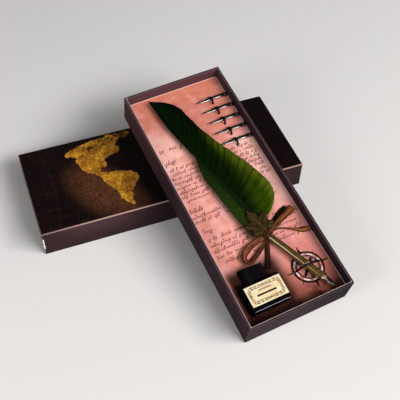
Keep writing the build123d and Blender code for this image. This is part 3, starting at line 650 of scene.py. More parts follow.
def quill():
    r, spot = on_tray("quill")
    tone = r.noise(spot * (1.0, 0.1, 1.0), 0.8, 3.0)
    y = r.split(spot)[1]
    # Pale at the foot and darker towards the tip; the darkening is painted shade, as on the vanes.
    colour = r.ramp(r.fade(y, -60.0, 130.0, smooth=False), [
        (0.0, (44, 42, 16)), (0.1, (13, 26, 7)), (0.5, (8, 19, 5)), (1.0, (6, 13, 4))])
    colour = r.blend(tone * 0.4, colour, (8, 20, 8))
    return r.surface(colour, 0.55, specular_ior_level=0.15)


def green_vane():
    r = Recipe("green_vane")
    along, out, _ = r.split(r.uv())
    # Painted shade in the creases between locks, carried by the tone attribute.
    painted_crease_shade = r.tone()
    wide = along > 1.5
    run = along - wide * 2.0
    strand = r.noise(r.join(run * 130.0, out * 1.6, 0.0), 1.0, 3.0, 0.6)
    # The ramps darken towards the feather's tip: painted shade, as the light falls off along it.
    light = r.ramp(run, [
        (0.0, (42, 58, 4)), (0.16, (46, 62, 5)), (0.34, (44, 57, 5)), (0.50, (34, 47, 4)),
        (0.60, (14, 24, 2)), (0.70, (7, 15, 3)), (1.0, (5, 10, 3))])
    deep = r.ramp(run, [
        (0.0, (32, 50, 3)), (0.2, (27, 45, 3)), (0.45, (12, 25, 2)), (0.6, (5, 12, 2)),
        (1.0, (4, 8, 2))])
    facing = r.blend(r.fade(strand, 0.38, 0.62), deep, light)
    # Painted shade in the valley along the shaft, wider towards the tip.
    painted_valley_shade = r.fade(out - r.fade(run, 0.12, 0.5) * 0.42, 0.45, 0.0)
    facing = r.blend(painted_valley_shade * 0.95, facing, (5, 18, 3))
    # Painted highlight: lighter yellow-green towards the outer edge of the wide vane, on its lower part.
    tip = r.fade(out, 0.6, 1.0) * r.fade(run, 0.66, 0.45)
    facing = r.blend(tip * 0.55, facing, (88, 100, 20))
    # Darker towards the tip here too: painted shade.
    narrow = r.ramp(run, [
        (0.0, (38, 52, 12)), (0.25, (30, 46, 11)), (0.5, (16, 30, 6)), (0.7, (6, 14, 3)),
        (1.0, (4, 8, 2))])
    narrow = r.blend(r.fade(strand, 0.35, 0.65) * 0.3, narrow, (14, 32, 8))
    # Painted shade on the narrow vane next to the shaft, except near the tip.
    painted_shaft_shade = r.fade(out, 0.42, 0.05) * r.fade(run, 0.9, 0.5)
    narrow = r.blend(painted_shaft_shade * 0.88, narrow, (4, 14, 3))
    colour = r.blend(wide, narrow, facing)
    colour = r.blend(painted_crease_shade, colour, (4, 10, 2))
    barbs = r.sine(run * 1500.0)
    height = barbs * 0.2 + strand
    return r.surface(colour, 0.75, normal=r.bump(height, 0.0003), specular_ior_level=0.02)


def down():
    r, spot = on_tray("down")
    tone = r.fade(r.noise(spot, 0.5, 3.0), 0.3, 0.7)
    colour = r.blend(tone, (34, 38, 12), (84, 78, 42))
    return r.surface(colour, 0.85, specular_ior_level=0.15)


def antique_bronze():
    r, spot, wear = on_tray("antique_bronze", metal_wear, Scale=0.6)
    ridge = r.split(r.uv())[0]
    colour = r.blend(wear["Tarnish"], (52, 39, 15), (30, 22, 9))
    flecks = r.fade(r.noise(spot, 1.4, 4.0, 0.8), 0.5, 0.66)
    colour = r.blend(flecks * 0.45, colour, (90, 74, 38))
    colour = r.blend(r.fade(ridge, 0.3, 0.95) * 0.5, colour, (104, 84, 44))
    height = wear["Scratch"] + flecks
    return r.surface(colour, 0.55, metallic=0.2, normal=r.bump(height, 0.0002), specular_ior_level=0.12)


def satin_ribbon():
    r = Recipe("satin_ribbon")
    lay = r.uv()
    out = r.split(lay)[1]
    weave = r.effect(threads, Lay=lay, Along=14.0, Across=10.0)
    edge = r.most(r.fade(out, 2.0, 0.7), r.fade(out, 8.0, 9.3))
    # Lengthwise streaks: the weave's uneven colour and a painted satin sheen.
    streak_and_sheen = r.fade(r.noise(lay * (0.05, 0.8, 1.0), 1.0, 4.0, 0.65), 0.40, 0.62)
    colour = r.blend(streak_and_sheen, (54, 20, 9), (160, 98, 54))
    colour = r.blend(edge, colour, (42, 11, 7))
    colour = r.blend(weave["Gap"] * 0.25, colour, (52, 20, 10))
    # Painted shade from the tone attribute: 0 is near black, 1 the ribbon's colour.
    colour = r.blend(r.tone(), (22, 7, 5), colour)
    alpha = 0.98 - (1.0 - edge) * 0.14
    return r.surface(colour, 0.42, alpha=alpha, normal=r.bump(weave["Height"], 0.00002),
                     specular_ior_level=0.15)


def silver():
    r, spot, wear = on_tray("silver", metal_wear, Scale=0.8)
    colour = r.blend(wear["Tarnish"] * 0.18, (246, 242, 240), (196, 186, 180))
    # Painted dark reflection on the sides turned away from the front, painted shadow of the right wall at the
    # base ends, and the spare nibs' tips painted dark.
    way = tuple(-0.35 * right - 0.66 * back for right, back in zip(TRAY_AXES[0], TRAY_AXES[1]))
    facing = r.vector("DOT_PRODUCT", r.wire("ShaderNodeNewGeometry", "Normal"), way)
    x, y, _ = r.split(spot)
    by_wall = r.fade(x, 46.0, 51.0)
    tips = r.fade(x, 24.5, 17.0) * (y > 0.0) * 0.8
    painted_dark_reflection_and_shade = r.most(r.fade(facing, 0.52, 0.28), r.most(by_wall, tips))
    colour = r.blend(painted_dark_reflection_and_shade * 0.94, colour, (12, 9, 10))
    rough = 0.2 + wear["Scratch"] * 0.06
    return r.surface(colour, rough, metallic=1.0)


def gunmetal():
    r, spot, wear = on_tray("gunmetal", metal_wear, Scale=0.7)
    colour = r.blend(wear["Tarnish"] * 0.5, (74, 60, 58), (34, 25, 25))
    x, y, z = r.split(spot - (*COMPASS, CARD_TOP))
    reach = r.vector("LENGTH", r.join(x, y))
    low = z < 1.6
    # Painted reflections: pale plates between the rings, the inner ring's inner edge and patches along one
    # side of the long needle's bow, made less metallic there so they stay pale.
    plates = r.fade(abs(reach - 14.0), 1.25, 0.75)
    inner_edge = r.fade(abs(reach - 11.5), 0.4, 0.15)
    spread = r.fade(r.noise(spot, 0.16, 3.0, 0.6), 0.36, 0.52)
    painted_glint = r.most(plates, inner_edge * 0.5) * low * spread
    ridge = (z > 1.6) * r.fade(r.noise(spot, 0.3, 2.0), 0.46, 0.6)
    ridge = ridge * r.fade(y, 0.7, 1.2) * r.fade(abs(x), 17.0, 13.0)
    painted_glint = r.most(painted_glint, ridge)
    colour = r.blend(painted_glint * 0.85, colour, (244, 214, 208))
    rough = 0.12 + wear["Scratch"] * 0.12
    return r.surface(colour, rough, metallic=1.0 - painted_glint * 0.85)


def black_glass():
    r, spot = on_tray("black_glass")
    waves = r.noise(spot, 0.12, 2.0)
    colour = r.blend(waves, (3, 3, 5), (6, 5, 7))
    x, y, z = r.split(spot)
    glint = (y < -129.8) * r.fade(abs(z - 29.2), 1.0, 0.5)
    glint = glint * r.fade(abs(x + 23.4), 20.2, 18.0)
    colour = r.blend(glint * 0.9, colour, (206, 200, 206))
    return r.surface(colour, 0.12, normal=r.bump(waves, 0.0002), specular_ior_level=0.015)


def ink():
    r, spot = on_tray("ink")
    colour = r.blend(r.noise(spot, 0.2, 2.0), (6, 7, 12), (10, 11, 18))
    return r.surface(colour, 0.05)


def label_paper(centre, half):
    """Cream label with a traditional twined border, a small flourish and a plain bar."""
    r, spot, grain = on_tray("label_paper", paper_grain, Fibre=1.6)
    x, y, _ = r.split(spot - (*centre, 0.0))
    tone = r.fade(r.noise(spot, 0.09, 3.0), 0.3, 0.7)
    colour = r.blend(tone, (226, 206, 170), (206, 184, 144))
    corner, vine_inset, half_line = 7.0, 3.1, 0.37
    beyond = [r.most(corner - (size - abs(way)), 0.0) for size, way in zip(half, (x, y))]
    inset = corner - r.vector("LENGTH", r.join(*beyond))
    turn = r.turn_to(y / half[1], x / half[0])
    swing = r.sine(turn * 15.0)
    reach = 0.7 + abs(r.sine(turn * 2.0)) * 0.7
    marks = []
    for way in (1.0, -1.0):
        vine = vine_inset + swing * reach * way
        marks.append(abs(inset - vine) < half_line)
    leaves = (abs(inset - vine_inset) < 1.9) * (r.noise(spot, 1.1, 3.0, 0.7) > 0.55)
    marks.append(leaves)
    wave = r.sine(x * 1.15) * 0.75
    for way in (1.0, -1.0):
        curl = abs(y - 3.3 - wave * way)
        marks.append((curl < 0.36) * (abs(x) < 6.8))
    soft = 0.0
    for mark in marks:
        soft = r.most(soft, mark)
    colour = r.blend(soft * 0.9, colour, (74, 50, 20))
    bar = (abs(y + 1.4) < 0.95) * (abs(x) < 10.4)
    colour = r.blend(bar, colour, (32, 22, 12))
    return r.surface(colour, 0.5, normal=r.bump(grain["Height"], 0.00003), specular_ior_level=0.2)


def liner_foam():
    r, spot = on_tray("liner_foam")
    cells = r.noise(spot, 2.5, 2.0)
    colour = r.blend(cells, (210, 208, 200), (232, 230, 224))
    return r.surface(colour, 0.8, normal=r.bump(cells, 0.0001))


def cap_plastic():
    r, spot = on_tray("cap_plastic")
    grain = r.noise(spot, 3.0, 3.0)
    colour = r.blend(grain, (4, 3, 5), (8, 6, 8))
    return r.surface(colour, 0.3 + grain * 0.12, normal=r.bump(grain, 0.00003), specular_ior_level=0.15)


BOTTLE_FOOT = -130.0
BOTTLE_HEIGHT = 27.5
BOTTLE_MIDDLE = (-24.425, BOTTLE_FOOT + BOTTLE_HEIGHT / 2)
LABEL_HALF = (19.5, 10.5)

finishes = {finish.__name__: finish() for finish in (
    lid_print, grey_board, stay_tape, foam, aged_card, elastic, old_brass, cream_brass, quill, green_vane,
    down, antique_bronze, satin_ribbon, silver, gunmetal, black_glass, ink, liner_foam, cap_plastic)}
finishes["printed_wrap"] = tray_paper()
finishes["cream_paper"] = label_paper(BOTTLE_MIDDLE, LABEL_HALF)

kept_nodes = {
    "lid_print": ["lid_wrap"], "printed_wrap": ["tray_wrap"], "grey_board": ["lid_board", "tray_board"],
    "stay_tape": ["lid_corner_stays", "tray_corner_stays"], "foam": ["foam_insert"],
    "aged_card": ["printed_card"], "cream_brass": ["pen_ferrule"],
    "ink": ["ink"], "cream_paper": ["ink_label"], "liner_foam": ["cap_liner"], "cap_plastic": ["ink_cap"],
}
for slot, names in kept_nodes.items():
    for name in names:
        nodes[name].data.materials.clear()
        nodes[name].data.materials.append(finishes[slot])


# ---- Shape helpers ----
def point_on(points, share):
    """A place at a share of the smooth line through points of any number of values."""
    last = len(points) - 1
    way = share * last
    index = min(int(way), last - 1)
    t = way - index
    p0, p1, p2, p3 = (points[max(0, min(last, index + k))] for k in (-1, 0, 1, 2))
    return tuple(
        0.5 * (2 * b + (c - a) * t + (2 * a - 5 * b + 4 * c - d) * t ** 2 + (3 * b - a - 3 * c + d) * t ** 3)
        for a, b, c, d in zip(p0, p1, p2, p3))


def share_of(value):
    """value, kept between 0 and 1."""
    return min(1.0, max(0.0, value))


def bearing(angle):
    """Direction at an angle round the tray's own upright axis."""
    return Vector((math.cos(angle), math.sin(angle), 0))


def make_piece(name, points, faces, body, slot, replaced, lay=None, tone=None, smooth=True):
    """A mesh piece from points in millimetres on the tray, in place of the nodes named in replaced. lay
    gives each point's place for its weave, and tone its painted shade from 0 to 1."""
    mesh = bpy.data.meshes.new(name)
    mesh.from_pydata([place(*p) for p in points], [], faces)
    if tone is not None:
        mesh.attributes.new("tone", "FLOAT", "POINT").data.foreach_set("value", tone)
    if lay is not None:
        layer = mesh.uv_layers.new(name="lay")
        for loop in mesh.loops:
            layer.data[loop.index].uv = lay[loop.vertex_index]
    tidy = bmesh.new()
    tidy.from_mesh(mesh)
    bmesh.ops.recalc_face_normals(tidy, faces=tidy.faces)
    tidy.to_mesh(mesh)
    tidy.free()
    for face in mesh.polygons:
        face.use_smooth = smooth
    mesh.materials.append(finishes[slot])
    piece = bpy.data.objects.new(name, mesh)
    bpy.context.scene.collection.objects.link(piece)
    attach(piece, body)
    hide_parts(*replaced)
    return piece


def thicken(piece, thickness, offset=0.0):
    shell = piece.modifiers.new("thickness", "SOLIDIFY")
    shell.thickness = thickness * MILLIMETRE
    shell.offset = offset
    return piece


def grid_faces(rows, columns, closed=False, looped=False):
    """Faces of a grid whose points run along the columns first. closed joins the last column to the first,
    and looped joins the last row to the first."""
    faces = []
    for i in range(rows if looped else rows - 1):
        here, there = i * columns, (i + 1) % rows * columns
        for j in range(columns if closed else columns - 1):
            k = (j + 1) % columns
            faces.append((here + j, here + k, there + k, there + j))
    return faces


def rod_faces(rows, columns):
    """Faces of a closed grid with both its ends shut."""
    ends = [tuple(range(columns)), tuple(reversed(range((rows - 1) * columns, rows * columns)))]
    return grid_faces(rows, columns, closed=True) + ends


def shifted(faces, start):
    """faces for points that begin at start."""
    return [tuple(start + k for k in face) for face in faces]


def tube(path, radii, sides):
    """Round rod along a path, with closed ends: its points and faces."""
    points = []
    for index, spot in enumerate(path):
        before, after = path[max(index - 1, 0)], path[min(index + 1, len(path) - 1)]
        ahead = (Vector(after) - Vector(before)).normalized()
        side = ahead.cross(UP)
        side = side.normalized() if side.length > 1e-6 else Vector((1, 0, 0))
        up = side.cross(ahead)
        for k in range(sides):
            angle = 2 * math.pi * k / sides
            outward = side * math.cos(angle) + up * math.sin(angle)
            points.append(Vector(spot) + outward * radii[index])
    return points, rod_faces(len(path), sides)


def polar(distance, degrees_, up=0.0, sideways=0.0):
    """Place at a distance along a heading, then sideways from there and up."""
    angle = math.radians(degrees_)
    return (distance * math.cos(angle) - sideways * math.sin(angle),
            distance * math.sin(angle) + sideways * math.cos(angle), up)


# ---- Feather ----
PEN_AHEAD = bearing(math.radians(-66.0))
PEN_SIDE = bearing(math.radians(-66.0 + 90.0))
PEN_FRONT = Vector((36.2, -124.37, 27.4))
BARREL_END = (6.1024, -56.7662)
FEATHER_LENGTH = 191.967
SHAFT_Z = 28.2
FIRST_BARB = 0.06
BARBED = 1.0 - FIRST_BARB

# Places along the feather and to its right, in shares of its length.
shaft_line = [
    (0.06, -0.001), (0.155, -0.0135), (0.30, -0.0516), (0.50, -0.1063), (0.80, -0.1537), (1.0, -0.2032)]
wide_edge = [
    (0.067, 0.052), (0.09, 0.098), (0.115, 0.126), (0.153, 0.1584), (0.193, 0.175), (0.246, 0.1797),
    (0.31, 0.1641), (0.43, 0.1209), (0.57, 0.0521), (0.70, -0.0031), (0.836, -0.0432), (0.888, -0.0563),
    (0.95, -0.1068), (1.0, -0.2032)]
narrow_edge = [
    (0.04, -0.0771), (0.13, -0.0974), (0.22, -0.1125), (0.31, -0.125), (0.40, -0.1406), (0.48, -0.1365),
    (0.55, -0.125), (0.62, -0.1406), (0.77, -0.1771), (0.87, -0.1912), (1.0, -0.2032)]

# Where a barb leaves the shaft and where it ends, in shares of the feather's length.
wide_sweep = [
    (0.06, 0.067), (0.10, 0.17), (0.20, 0.31), (0.35, 0.53), (0.55, 0.74), (0.75, 0.88), (0.93, 0.97),
    (1.0, 1.0)]
narrow_sweep = [
    (0.06, 0.04), (0.12, 0.16), (0.25, 0.34), (0.45, 0.58), (0.65, 0.77), (0.85, 0.92), (1.0, 1.0)]


def on_feather(along, right):
    return BARREL_END[0] + right * FEATHER_LENGTH, BARREL_END[1] + along * FEATHER_LENGTH


def spot_on(line, share):
    """Place on a feather line at a share of its own run."""
    return on_feather(*point_on(line, share_of(share)))


def at_along(line, along):
    """Place on a feather line where it has come along the feather by a share."""
    low, high = 0.0, 1.0
    for _ in range(30):
        middle = (low + high) / 2
        if spot_on(line, middle)[1] < BARREL_END[1] + along * FEATHER_LENGTH:
            low = middle
        else:
            high = middle
    return spot_on(line, low)


def make_shaft():
    """The quill, from the barrel's end to the feather's tip."""
    steps = 40
    path = [(BARREL_END[0], BARREL_END[1], 27.45), (BARREL_END[0] - 1.0, BARREL_END[1] + 4.5, 27.8)]
    path += [(*at_along(shaft_line, FIRST_BARB + BARBED * k / steps), SHAFT_Z) for k in range(steps + 1)]
    radii = [1.8, 1.8] + [1.55 - 1.32 * k / steps for k in range(steps + 1)]
    points, faces = tube(path, radii, 10)
    make_piece("feather_shaft", points, faces, "pen", "quill", ["quill_shaft"])


def between(pairs, value):
    """Reads a value off a line of pairs."""
    for (a, b), (c, d) in zip(pairs, pairs[1:]):
        if value <= c:
            return b + (d - b) * max(0.0, value - a) / (c - a)
    return pairs[-1][1]


def make_vane(name, node, edge, sweep, side, seed, strips, frayed):
    """One side of the feather, as many locks of barbs that overlap like shingles. sweep pairs where a barb
    leaves the shaft with where it ends, and frayed is how far the locks part at the outer edge."""
    dice = random.Random(seed)
    points, faces, lay, tone = [], [], [], []
    columns, rows = 5, 14
    fullness = 1 if side > 0 else 0.3
    cuts = [0.0]
    while cuts[-1] < 1.0:
        cuts.append(cuts[-1] + dice.choice((0.45, 0.6, 1.0, 1.6, 1.9)) / strips)
    cuts[-1] = 1.0
    for low, high in zip(cuts, cuts[1:]):
        middle = (low + high) / 2
        part = frayed * dice.choice((0.0, 0.0, 0.4, 0.7, 1.0)) * (high - low)
        trim = dice.uniform(0.0, 0.016)
        lift = dice.uniform(-0.1, 0.1)
        loose = math.exp(-((middle - 0.42) / 0.2) ** 2) * (1 if side > 0 else 0.15)
        shade = min(1.0, loose * dice.choice((0.2, 0.5, 1.0, 1.3)))
        start = len(points)
        for i in range(rows):
            out = i / (rows - 1)
            for j in range(columns):
                across = j / (columns - 1)
                share = share_of(low + (high - low) * (across * 1.12 - 0.06))
                pinch = part * out ** 3 * (0.5 - across) * 2
                share_here = share_of(share + pinch)
                leave = FIRST_BARB + BARBED * share ** 1.25
                root = at_along(shaft_line, leave)
                end = at_along(edge, between(sweep, FIRST_BARB + BARBED * share_here ** 1.25))
                notch = 0.012 * (2 * across - 1) ** 2 * fullness
                reach = out * (1 - trim - notch * out)
                bend = math.sin(math.pi * out) * (1 - share)
                x = root[0] + (end[0] - root[0]) * reach + side * bend * 1.2
                y = root[1] + (end[1] - root[1]) * reach - bend * 1.4
                camber = 0.5 * math.sin(math.pi * min(1.0, out * 1.1)) - 0.7 * out ** 2 + lift * out
                shingle = (across - 0.5) * 0.7 * out * (0.4 + loose)
                points.append((x, y, SHAFT_Z + 0.25 + camber + shingle))
                lay.append((leave * 0.55 + between(sweep, leave) * 0.45 + (2.0 if side > 0 else 0.0), out))
                # tone: painted shade along one side of each lock's outer part, deepest mid-way along the wide
                # vane.
                tone.append(shade * max(0.0, 1 - across * 2.2) * share_of(out * 2.3 - 0.75))
        faces += shifted(grid_faces(rows, columns), start)
    vane = make_piece(name, points, faces, "pen", "green_vane", [node], lay=lay, tone=tone)
    thicken(vane, 0.22)


def make_down():
    """Soft tuft of curled barbs at the feather's foot."""
    dice = random.Random(41)
    barbs, joints = 360, 4
    points, faces = [], []
    for _ in range(barbs):
        root = Vector((BARREL_END[0] + dice.uniform(-5.0, 1.0), BARREL_END[1] + dice.uniform(-1.0, 13.0),
                       CARD_TOP + dice.uniform(3.4, 5.2)))
        heading = math.radians(dice.gauss(166.0, 26.0))
        length = dice.uniform(7.0, 16.0)
        curl = dice.uniform(-0.9, 0.9)
        drop = dice.uniform(1.5, 3.0)
        path = []
        for k in range(joints + 1):
            t = k / joints
            spot = root + bearing(heading + curl * t) * length * t
            spot.z = max(spot.z + math.sin(t * 2.6) * 0.9 - t * t * drop, CARD_TOP + 0.9)
            path.append(tuple(spot))
        strand, strand_faces = tube(path, [0.24, 0.22, 0.18, 0.12, 0.04], 3)
        faces += shifted(strand_faces, len(points))
        points += strand
    make_piece("feather_tuft", points, faces, "pen", "down", ["feather_down"])


# ---- Leaf charm ----
LEAF_AT = (8.0, -58.4)
LEAF_Z = 30.25
LEAF_SIZE = 29.0
LEAF_HEADING = 106.0
VEIN_WIDTH = 0.016
leaf_half = [
    (0.0, 0.0), (0.05, 0.06), (-0.06, 0.20), (-0.02, 0.36), (0.10, 0.52), (0.16, 0.42), (0.24, 0.36),
    (0.33, 0.40), (0.44, 0.50), (0.56, 0.50), (0.58, 0.36), (0.54, 0.22), (0.64, 0.16), (0.70, 0.19),
    (0.80, 0.15), (0.86, 0.08), (1.0, 0.0)]
leaf_veins = [((0.0, 0.0), (0.97, 0.0)), ((0.02, 0.0), (0.09, 0.48)), ((0.04, 0.0), (0.53, 0.48)),
              ((0.45, 0.0), (0.70, 0.17)), ((0.05, 0.24), (-0.04, 0.32)), ((0.04, 0.14), (-0.04, 0.2)),
              ((0.2, 0.18), (0.24, 0.34)), ((0.3, 0.26), (0.44, 0.3)), ((0.36, 0.32), (0.42, 0.46)),
              ((0.6, 0.0), (0.80, 0.12)), ((0.28, 0.0), (0.5, 0.18)), ((0.06, 0.3), (0.16, 0.38))]


def distance_to(point, start, end):
    point, start, end = Vector(point), Vector(start), Vector(end)
    run = end - start
    share = share_of((point - start).dot(run) / run.length_squared)
    return (point - start - run * share).length


def make_leaf():
    """Cast maple leaf. lay holds how near a point is to a vein, which shades the ridges."""
    half, steps = [], 5
    for (x0, y0), (x1, y1) in zip(leaf_half, leaf_half[1:]):
        for k in range(steps):
            t = k / steps
            swell = 0.012 * math.sin(math.pi * t)
            nick = 0.008 if k % 2 else 0.0
            half.append((x0 + (x1 - x0) * t + swell - nick, max(y0 + (y1 - y0) * t + swell - nick, 0.0)))
    half.append((1.0, 0.0))
    outline = half + [(x, -y) for x, y in reversed(half[1:-1])]
    centre = Vector((0.36, 0.0))
    rings = 9
    flat = []
    for ring in range(1, rings + 1):
        for x, y in outline:
            flat.append(centre + (Vector((x, y)) - centre) * ring / rings)
    flat.append(centre)
    points, lay = [], []
    for spot in flat:
        gap = min(distance_to(spot, (a[0], sign * a[1]), (b[0], sign * b[1]))
                  for a, b in leaf_veins for sign in (1, -1))
        ridge = math.exp(-(gap / VEIN_WIDTH) ** 2)
        from_stem = (spot - Vector((0.1, 0.0))).length
        warp = 0.5 * from_stem ** 2 * math.sin(3.0 * math.atan2(spot.y, spot.x)) ** 2
        height = LEAF_Z + 0.35 + 1.1 * math.exp(-spot.length * 4) + 0.3 * ridge + warp
        right, back, _ = polar(spot.x * LEAF_SIZE, LEAF_HEADING, sideways=spot.y * LEAF_SIZE)
        points.append((LEAF_AT[0] + right, LEAF_AT[1] + back, height))
        lay.append((ridge, 0.0))
    count = len(outline)
    faces = grid_faces(rings, count, closed=True)
    faces += [(len(points) - 1, j, (j + 1) % count) for j in range(count)]
    leaf = make_piece("leaf", points, faces, "pen", "antique_bronze", ["leaf_charm"], lay=lay)
    thicken(leaf, 0.7)


def make_jump_ring():
    """Plain wire ring where the part's own ring is."""
    ring = []
    low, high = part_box("charm_ring")
    centre = tray_matrix.inverted() @ ((low + high) / 2)
    sides, turns, thick = 8, 28, 0.45
    for i in range(turns):
        angle = 2 * math.pi * i / turns
        for k in range(sides):
            tilt = 2 * math.pi * k / sides
            radius = 2.2 + thick * math.cos(tilt)
            ring.append(centre + bearing(angle) * radius + UP * thick * math.sin(tilt))
    faces = grid_faces(turns, sides, closed=True, looped=True)
    make_piece("jump_ring", ring, faces, "pen", "antique_bronze", ["charm_ring"],
               lay=[(0.6, 0.0)] * len(ring))


# ---- Ribbon ----
KNOT = (8.541, -62.249)
RIBBON_WIDTH = 10.0


def strip(name, node, stations, length, shade=(1.0, 1.0), wave=0.2, seed=0):
    """A length of ribbon. A station is the middle of the ribbon (right, back, up), then the way across it
    (right, back, up) and how wide it looks there, all from the knot's middle and the card. Where it looks
    narrower than it is, its sides are folded under. shade is its painted shade at both ends."""
    count, columns = 48, 41
    stations = [(*middle, *across, width) for middle, across, width in stations]
    line = [point_on(stations, i / (count - 1)) for i in range(count)]
    points, lay, tone = [], [], []
    for i, (x, y, z, ax, ay, az, width) in enumerate(line):
        across = Vector((ax, ay, az)).normalized()
        before, after = Vector(line[max(i - 1, 0)][:3]), Vector(line[min(i + 1, count - 1)][:3])
        out = (after - before).normalized().cross(across)
        if out.z < 0:
            out = -out
        for j in range(columns):
            s = (j / (columns - 1) - 0.5) * RIBBON_WIDTH * 0.97
            turns = s / width
            fold = math.floor(turns + 0.5)
            t = (turns - fold) * (-1) ** fold
            ripple = wave * noise.noise(Vector((i * 0.11, t * 2.5, seed * 7.3)))
            ripple += 0.4 * wave * math.cos(t * 12.0 + i * 0.1)
            spot = Vector((x, y, z)) + across * t * width + out * (ripple * (fold == 0) - 0.3 * abs(turns))
            spot.z = max(spot.z, 0.25)
            points.append((KNOT[0] + spot.x, KNOT[1] + spot.y, CARD_TOP + spot.z))
            lay.append((i / (count - 1) * length * 1000, (t + 0.5) * RIBBON_WIDTH))
            tone.append(shade[0] + (shade[1] - shade[0]) * min(1.0, i / count * 1.4))
    piece = make_piece(name, points, grid_faces(count, columns), "pen", "satin_ribbon", [node], lay, tone)
    thicken(piece, 0.14)
    return piece


def crosswise(degrees_, lean=0.0):
    """Way across a strip that runs along a heading, leaning up by lean."""
    angle = math.radians(degrees_ + 90)
    return (math.cos(angle) * math.cos(lean), math.sin(angle) * math.cos(lean), math.sin(lean))


def straight(degrees_, rows):
    """Stations along one heading. A row is the distance, the height, the way aside, the lean and the
    width."""
    return [(polar(far, degrees_, up, aside), crosswise(degrees_, lean), width)
            for far, up, aside, lean, width in rows]


def make_ribbons():
    """The bow's three loops and two tails."""
    # The shade pairs are painted shade: the rear loop lies in the right loop's shadow and is nearly black,
    # the front tail darkens into the bottle's shadow, and the other strips are darker at one end.
    strip("ribbon_right_loop", "ribbon_loop_right", straight(25, [
        (3.8, 5.4, 0.4, 0.5, 3.6), (10, 5.8, 0.4, 0.35, 4.8), (20, 5.6, 0.4, 0.2, 6.0),
        (32, 5.0, 0.2, 0.1, 7.0), (42, 4.0, 0.0, 0.0, 7.6), (44.3, 3.0, 0.0, 0.0, 7.6),
        (42, 2.0, 0.2, 0.0, 7.0), (32, 1.8, 0.6, 0.05, 6.0), (18, 2.2, 0.8, 0.1, 4.6),
        (5.0, 3.4, 0.6, 0.3, 3.4)]),
        0.081, (0.55, 1.0), seed=1)
    strip("ribbon_rear_loop", "ribbon_loop_rear", [
        (polar(5.2, 36, 2.4), crosswise(36, 0.3), 3.6), (polar(13, 35.5, 1.5), crosswise(35.5, 0.1), 6.0),
        (polar(24, 34.5, 1.1), crosswise(34.5, 0.0), 8.4), (polar(33, 32.5, 0.9), crosswise(28, 0.0), 9.6),
        (polar(41.0, 30, 0.8), crosswise(18, 0.0), 9.9)],
        0.036, (0.05, 0.12), wave=0.04, seed=2)
    strip("ribbon_left_loop", "ribbon_loop_left", [
        ((-3.0, -0.8, 4.8), (0.1, 0.9, 0.45), 4.0), ((-12.6, -1.6, 4.0), (0.0, 0.93, 0.38), 6.0),
        ((-24.0, -4.6, 3.2), (-0.2, 0.92, 0.35), 7.0), ((-31.6, -9.4, 3.0), (-0.6, 0.72, 0.4), 7.0),
        ((-33.4, -15.0, 3.0), (-0.95, 0.0, 0.4), 6.6), ((-30.4, -18.4, 3.0), (-0.4, -0.85, 0.4), 6.2),
        ((-25.2, -16.9, 3.0), (0.3, -0.85, 0.4), 6.2), ((-15.1, -11.3, 3.6), (0.5, -0.75, 0.4), 5.6),
        ((-4.2, -4.6, 4.6), (0.5, -0.75, 0.4), 4.0)],
        0.0715, (0.85, 0.45), seed=3)
    strip("ribbon_front_tail", "ribbon_tail_front", straight(-117.5, [
        (4.6, 4.0, 0.0, 0.3, 3.6), (13, 2.4, 0.0, 0.35, 4.8), (25, 1.9, 0.0, 0.3, 5.4),
        (36, 1.6, 0.0, 0.2, 5.6)]),
        0.032, (0.5, 0.05), seed=4)
    strip("ribbon_right_tail", "ribbon_tail_right", [
        ((5.6, 1.4, 3.6), (0.0, 0.5, 0.9), 1.8), ((15.5, 2.2, 3.0), (0.1, 0.5, 0.85), 1.4),
        ((26.0, -2.6, 2.9), (0.3, 0.7, 0.6), 1.9), ((34.0, -7.2, 2.9), (0.2, 0.9, 0.3), 4.4),
        ((40.5, -9.1, 2.9), (0.1, 0.97, 0.2), 6.2), ((45.6, -10.4, 3.0), (0.1, 0.97, 0.3), 4.0)],
        0.043, (0.45, 1.0), wave=0.1, seed=5)


def make_knot():
    """The ribbon's turns round the barrel, pulled into creases, and the knot on top of them."""
    middle = Vector((*KNOT, PEN_FRONT[2]))
    rows, columns = 21, 56
    points, lay, tone = [], [], []
    for i in range(rows):
        t = i / (rows - 1) * 2 - 1
        for j in range(columns):
            angle = 2 * math.pi * j / columns
            twist = t * 8.0 + 1.6 * math.sin(angle + 0.6)
            fold = 0.3 * math.sin(twist) + 0.12 * math.sin(t * 17.0 + angle * 3)
            radius = 4.3 + (0.42 + fold) * (1 - t ** 6)
            radius += max(0.0, math.sin(angle)) ** 5 * 1.3 * math.exp(-(t / 0.6) ** 2)
            squeeze = 3.4 * t * (1 - 0.2 * math.cos(angle * 2))
            outward = PEN_SIDE * math.cos(angle) + UP * math.sin(angle)
            points.append(middle + PEN_AHEAD * squeeze + outward * radius)
            lay.append((angle * 5, 5 + 4.6 * math.sin(twist)))
            # tone: painted shade, darker in the creases of the turns.
            tone.append(0.38 + 0.3 * math.sin(twist))
    faces = grid_faces(rows, columns, closed=True)
    knot = make_piece("ribbon_wrap_knot", points, faces, "pen", "satin_ribbon", ["ribbon_knot"], lay, tone)
    thicken(knot, 0.25, -1.0)


# ---- Compass pen rest ----
COMPASS_Z = 22.05
PLATE = 1.0


def compass_point(radius, angle, up):
    return (COMPASS[0] + radius * math.cos(angle), COMPASS[1] + radius * math.sin(angle), COMPASS_Z + up)


def band_ring(inner, outer, up, points, faces, parts=96):
    """A flat ring with rounded edges, added to points and faces."""
    edge = 0.28
    outline = [(inner + edge, up), (inner, up - edge), (inner, edge * 0.5), (inner + edge * 0.5, 0.0),
               (outer - edge * 0.5, 0.0), (outer, edge * 0.5), (outer, up - edge), (outer - edge, up)]
    start = len(points)
    for i in range(parts):
        angle = 2 * math.pi * i / parts
        points += [compass_point(radius, angle, height) for radius, height in outline]
    faces += shifted(grid_faces(parts, len(outline), closed=True, looped=True), start)


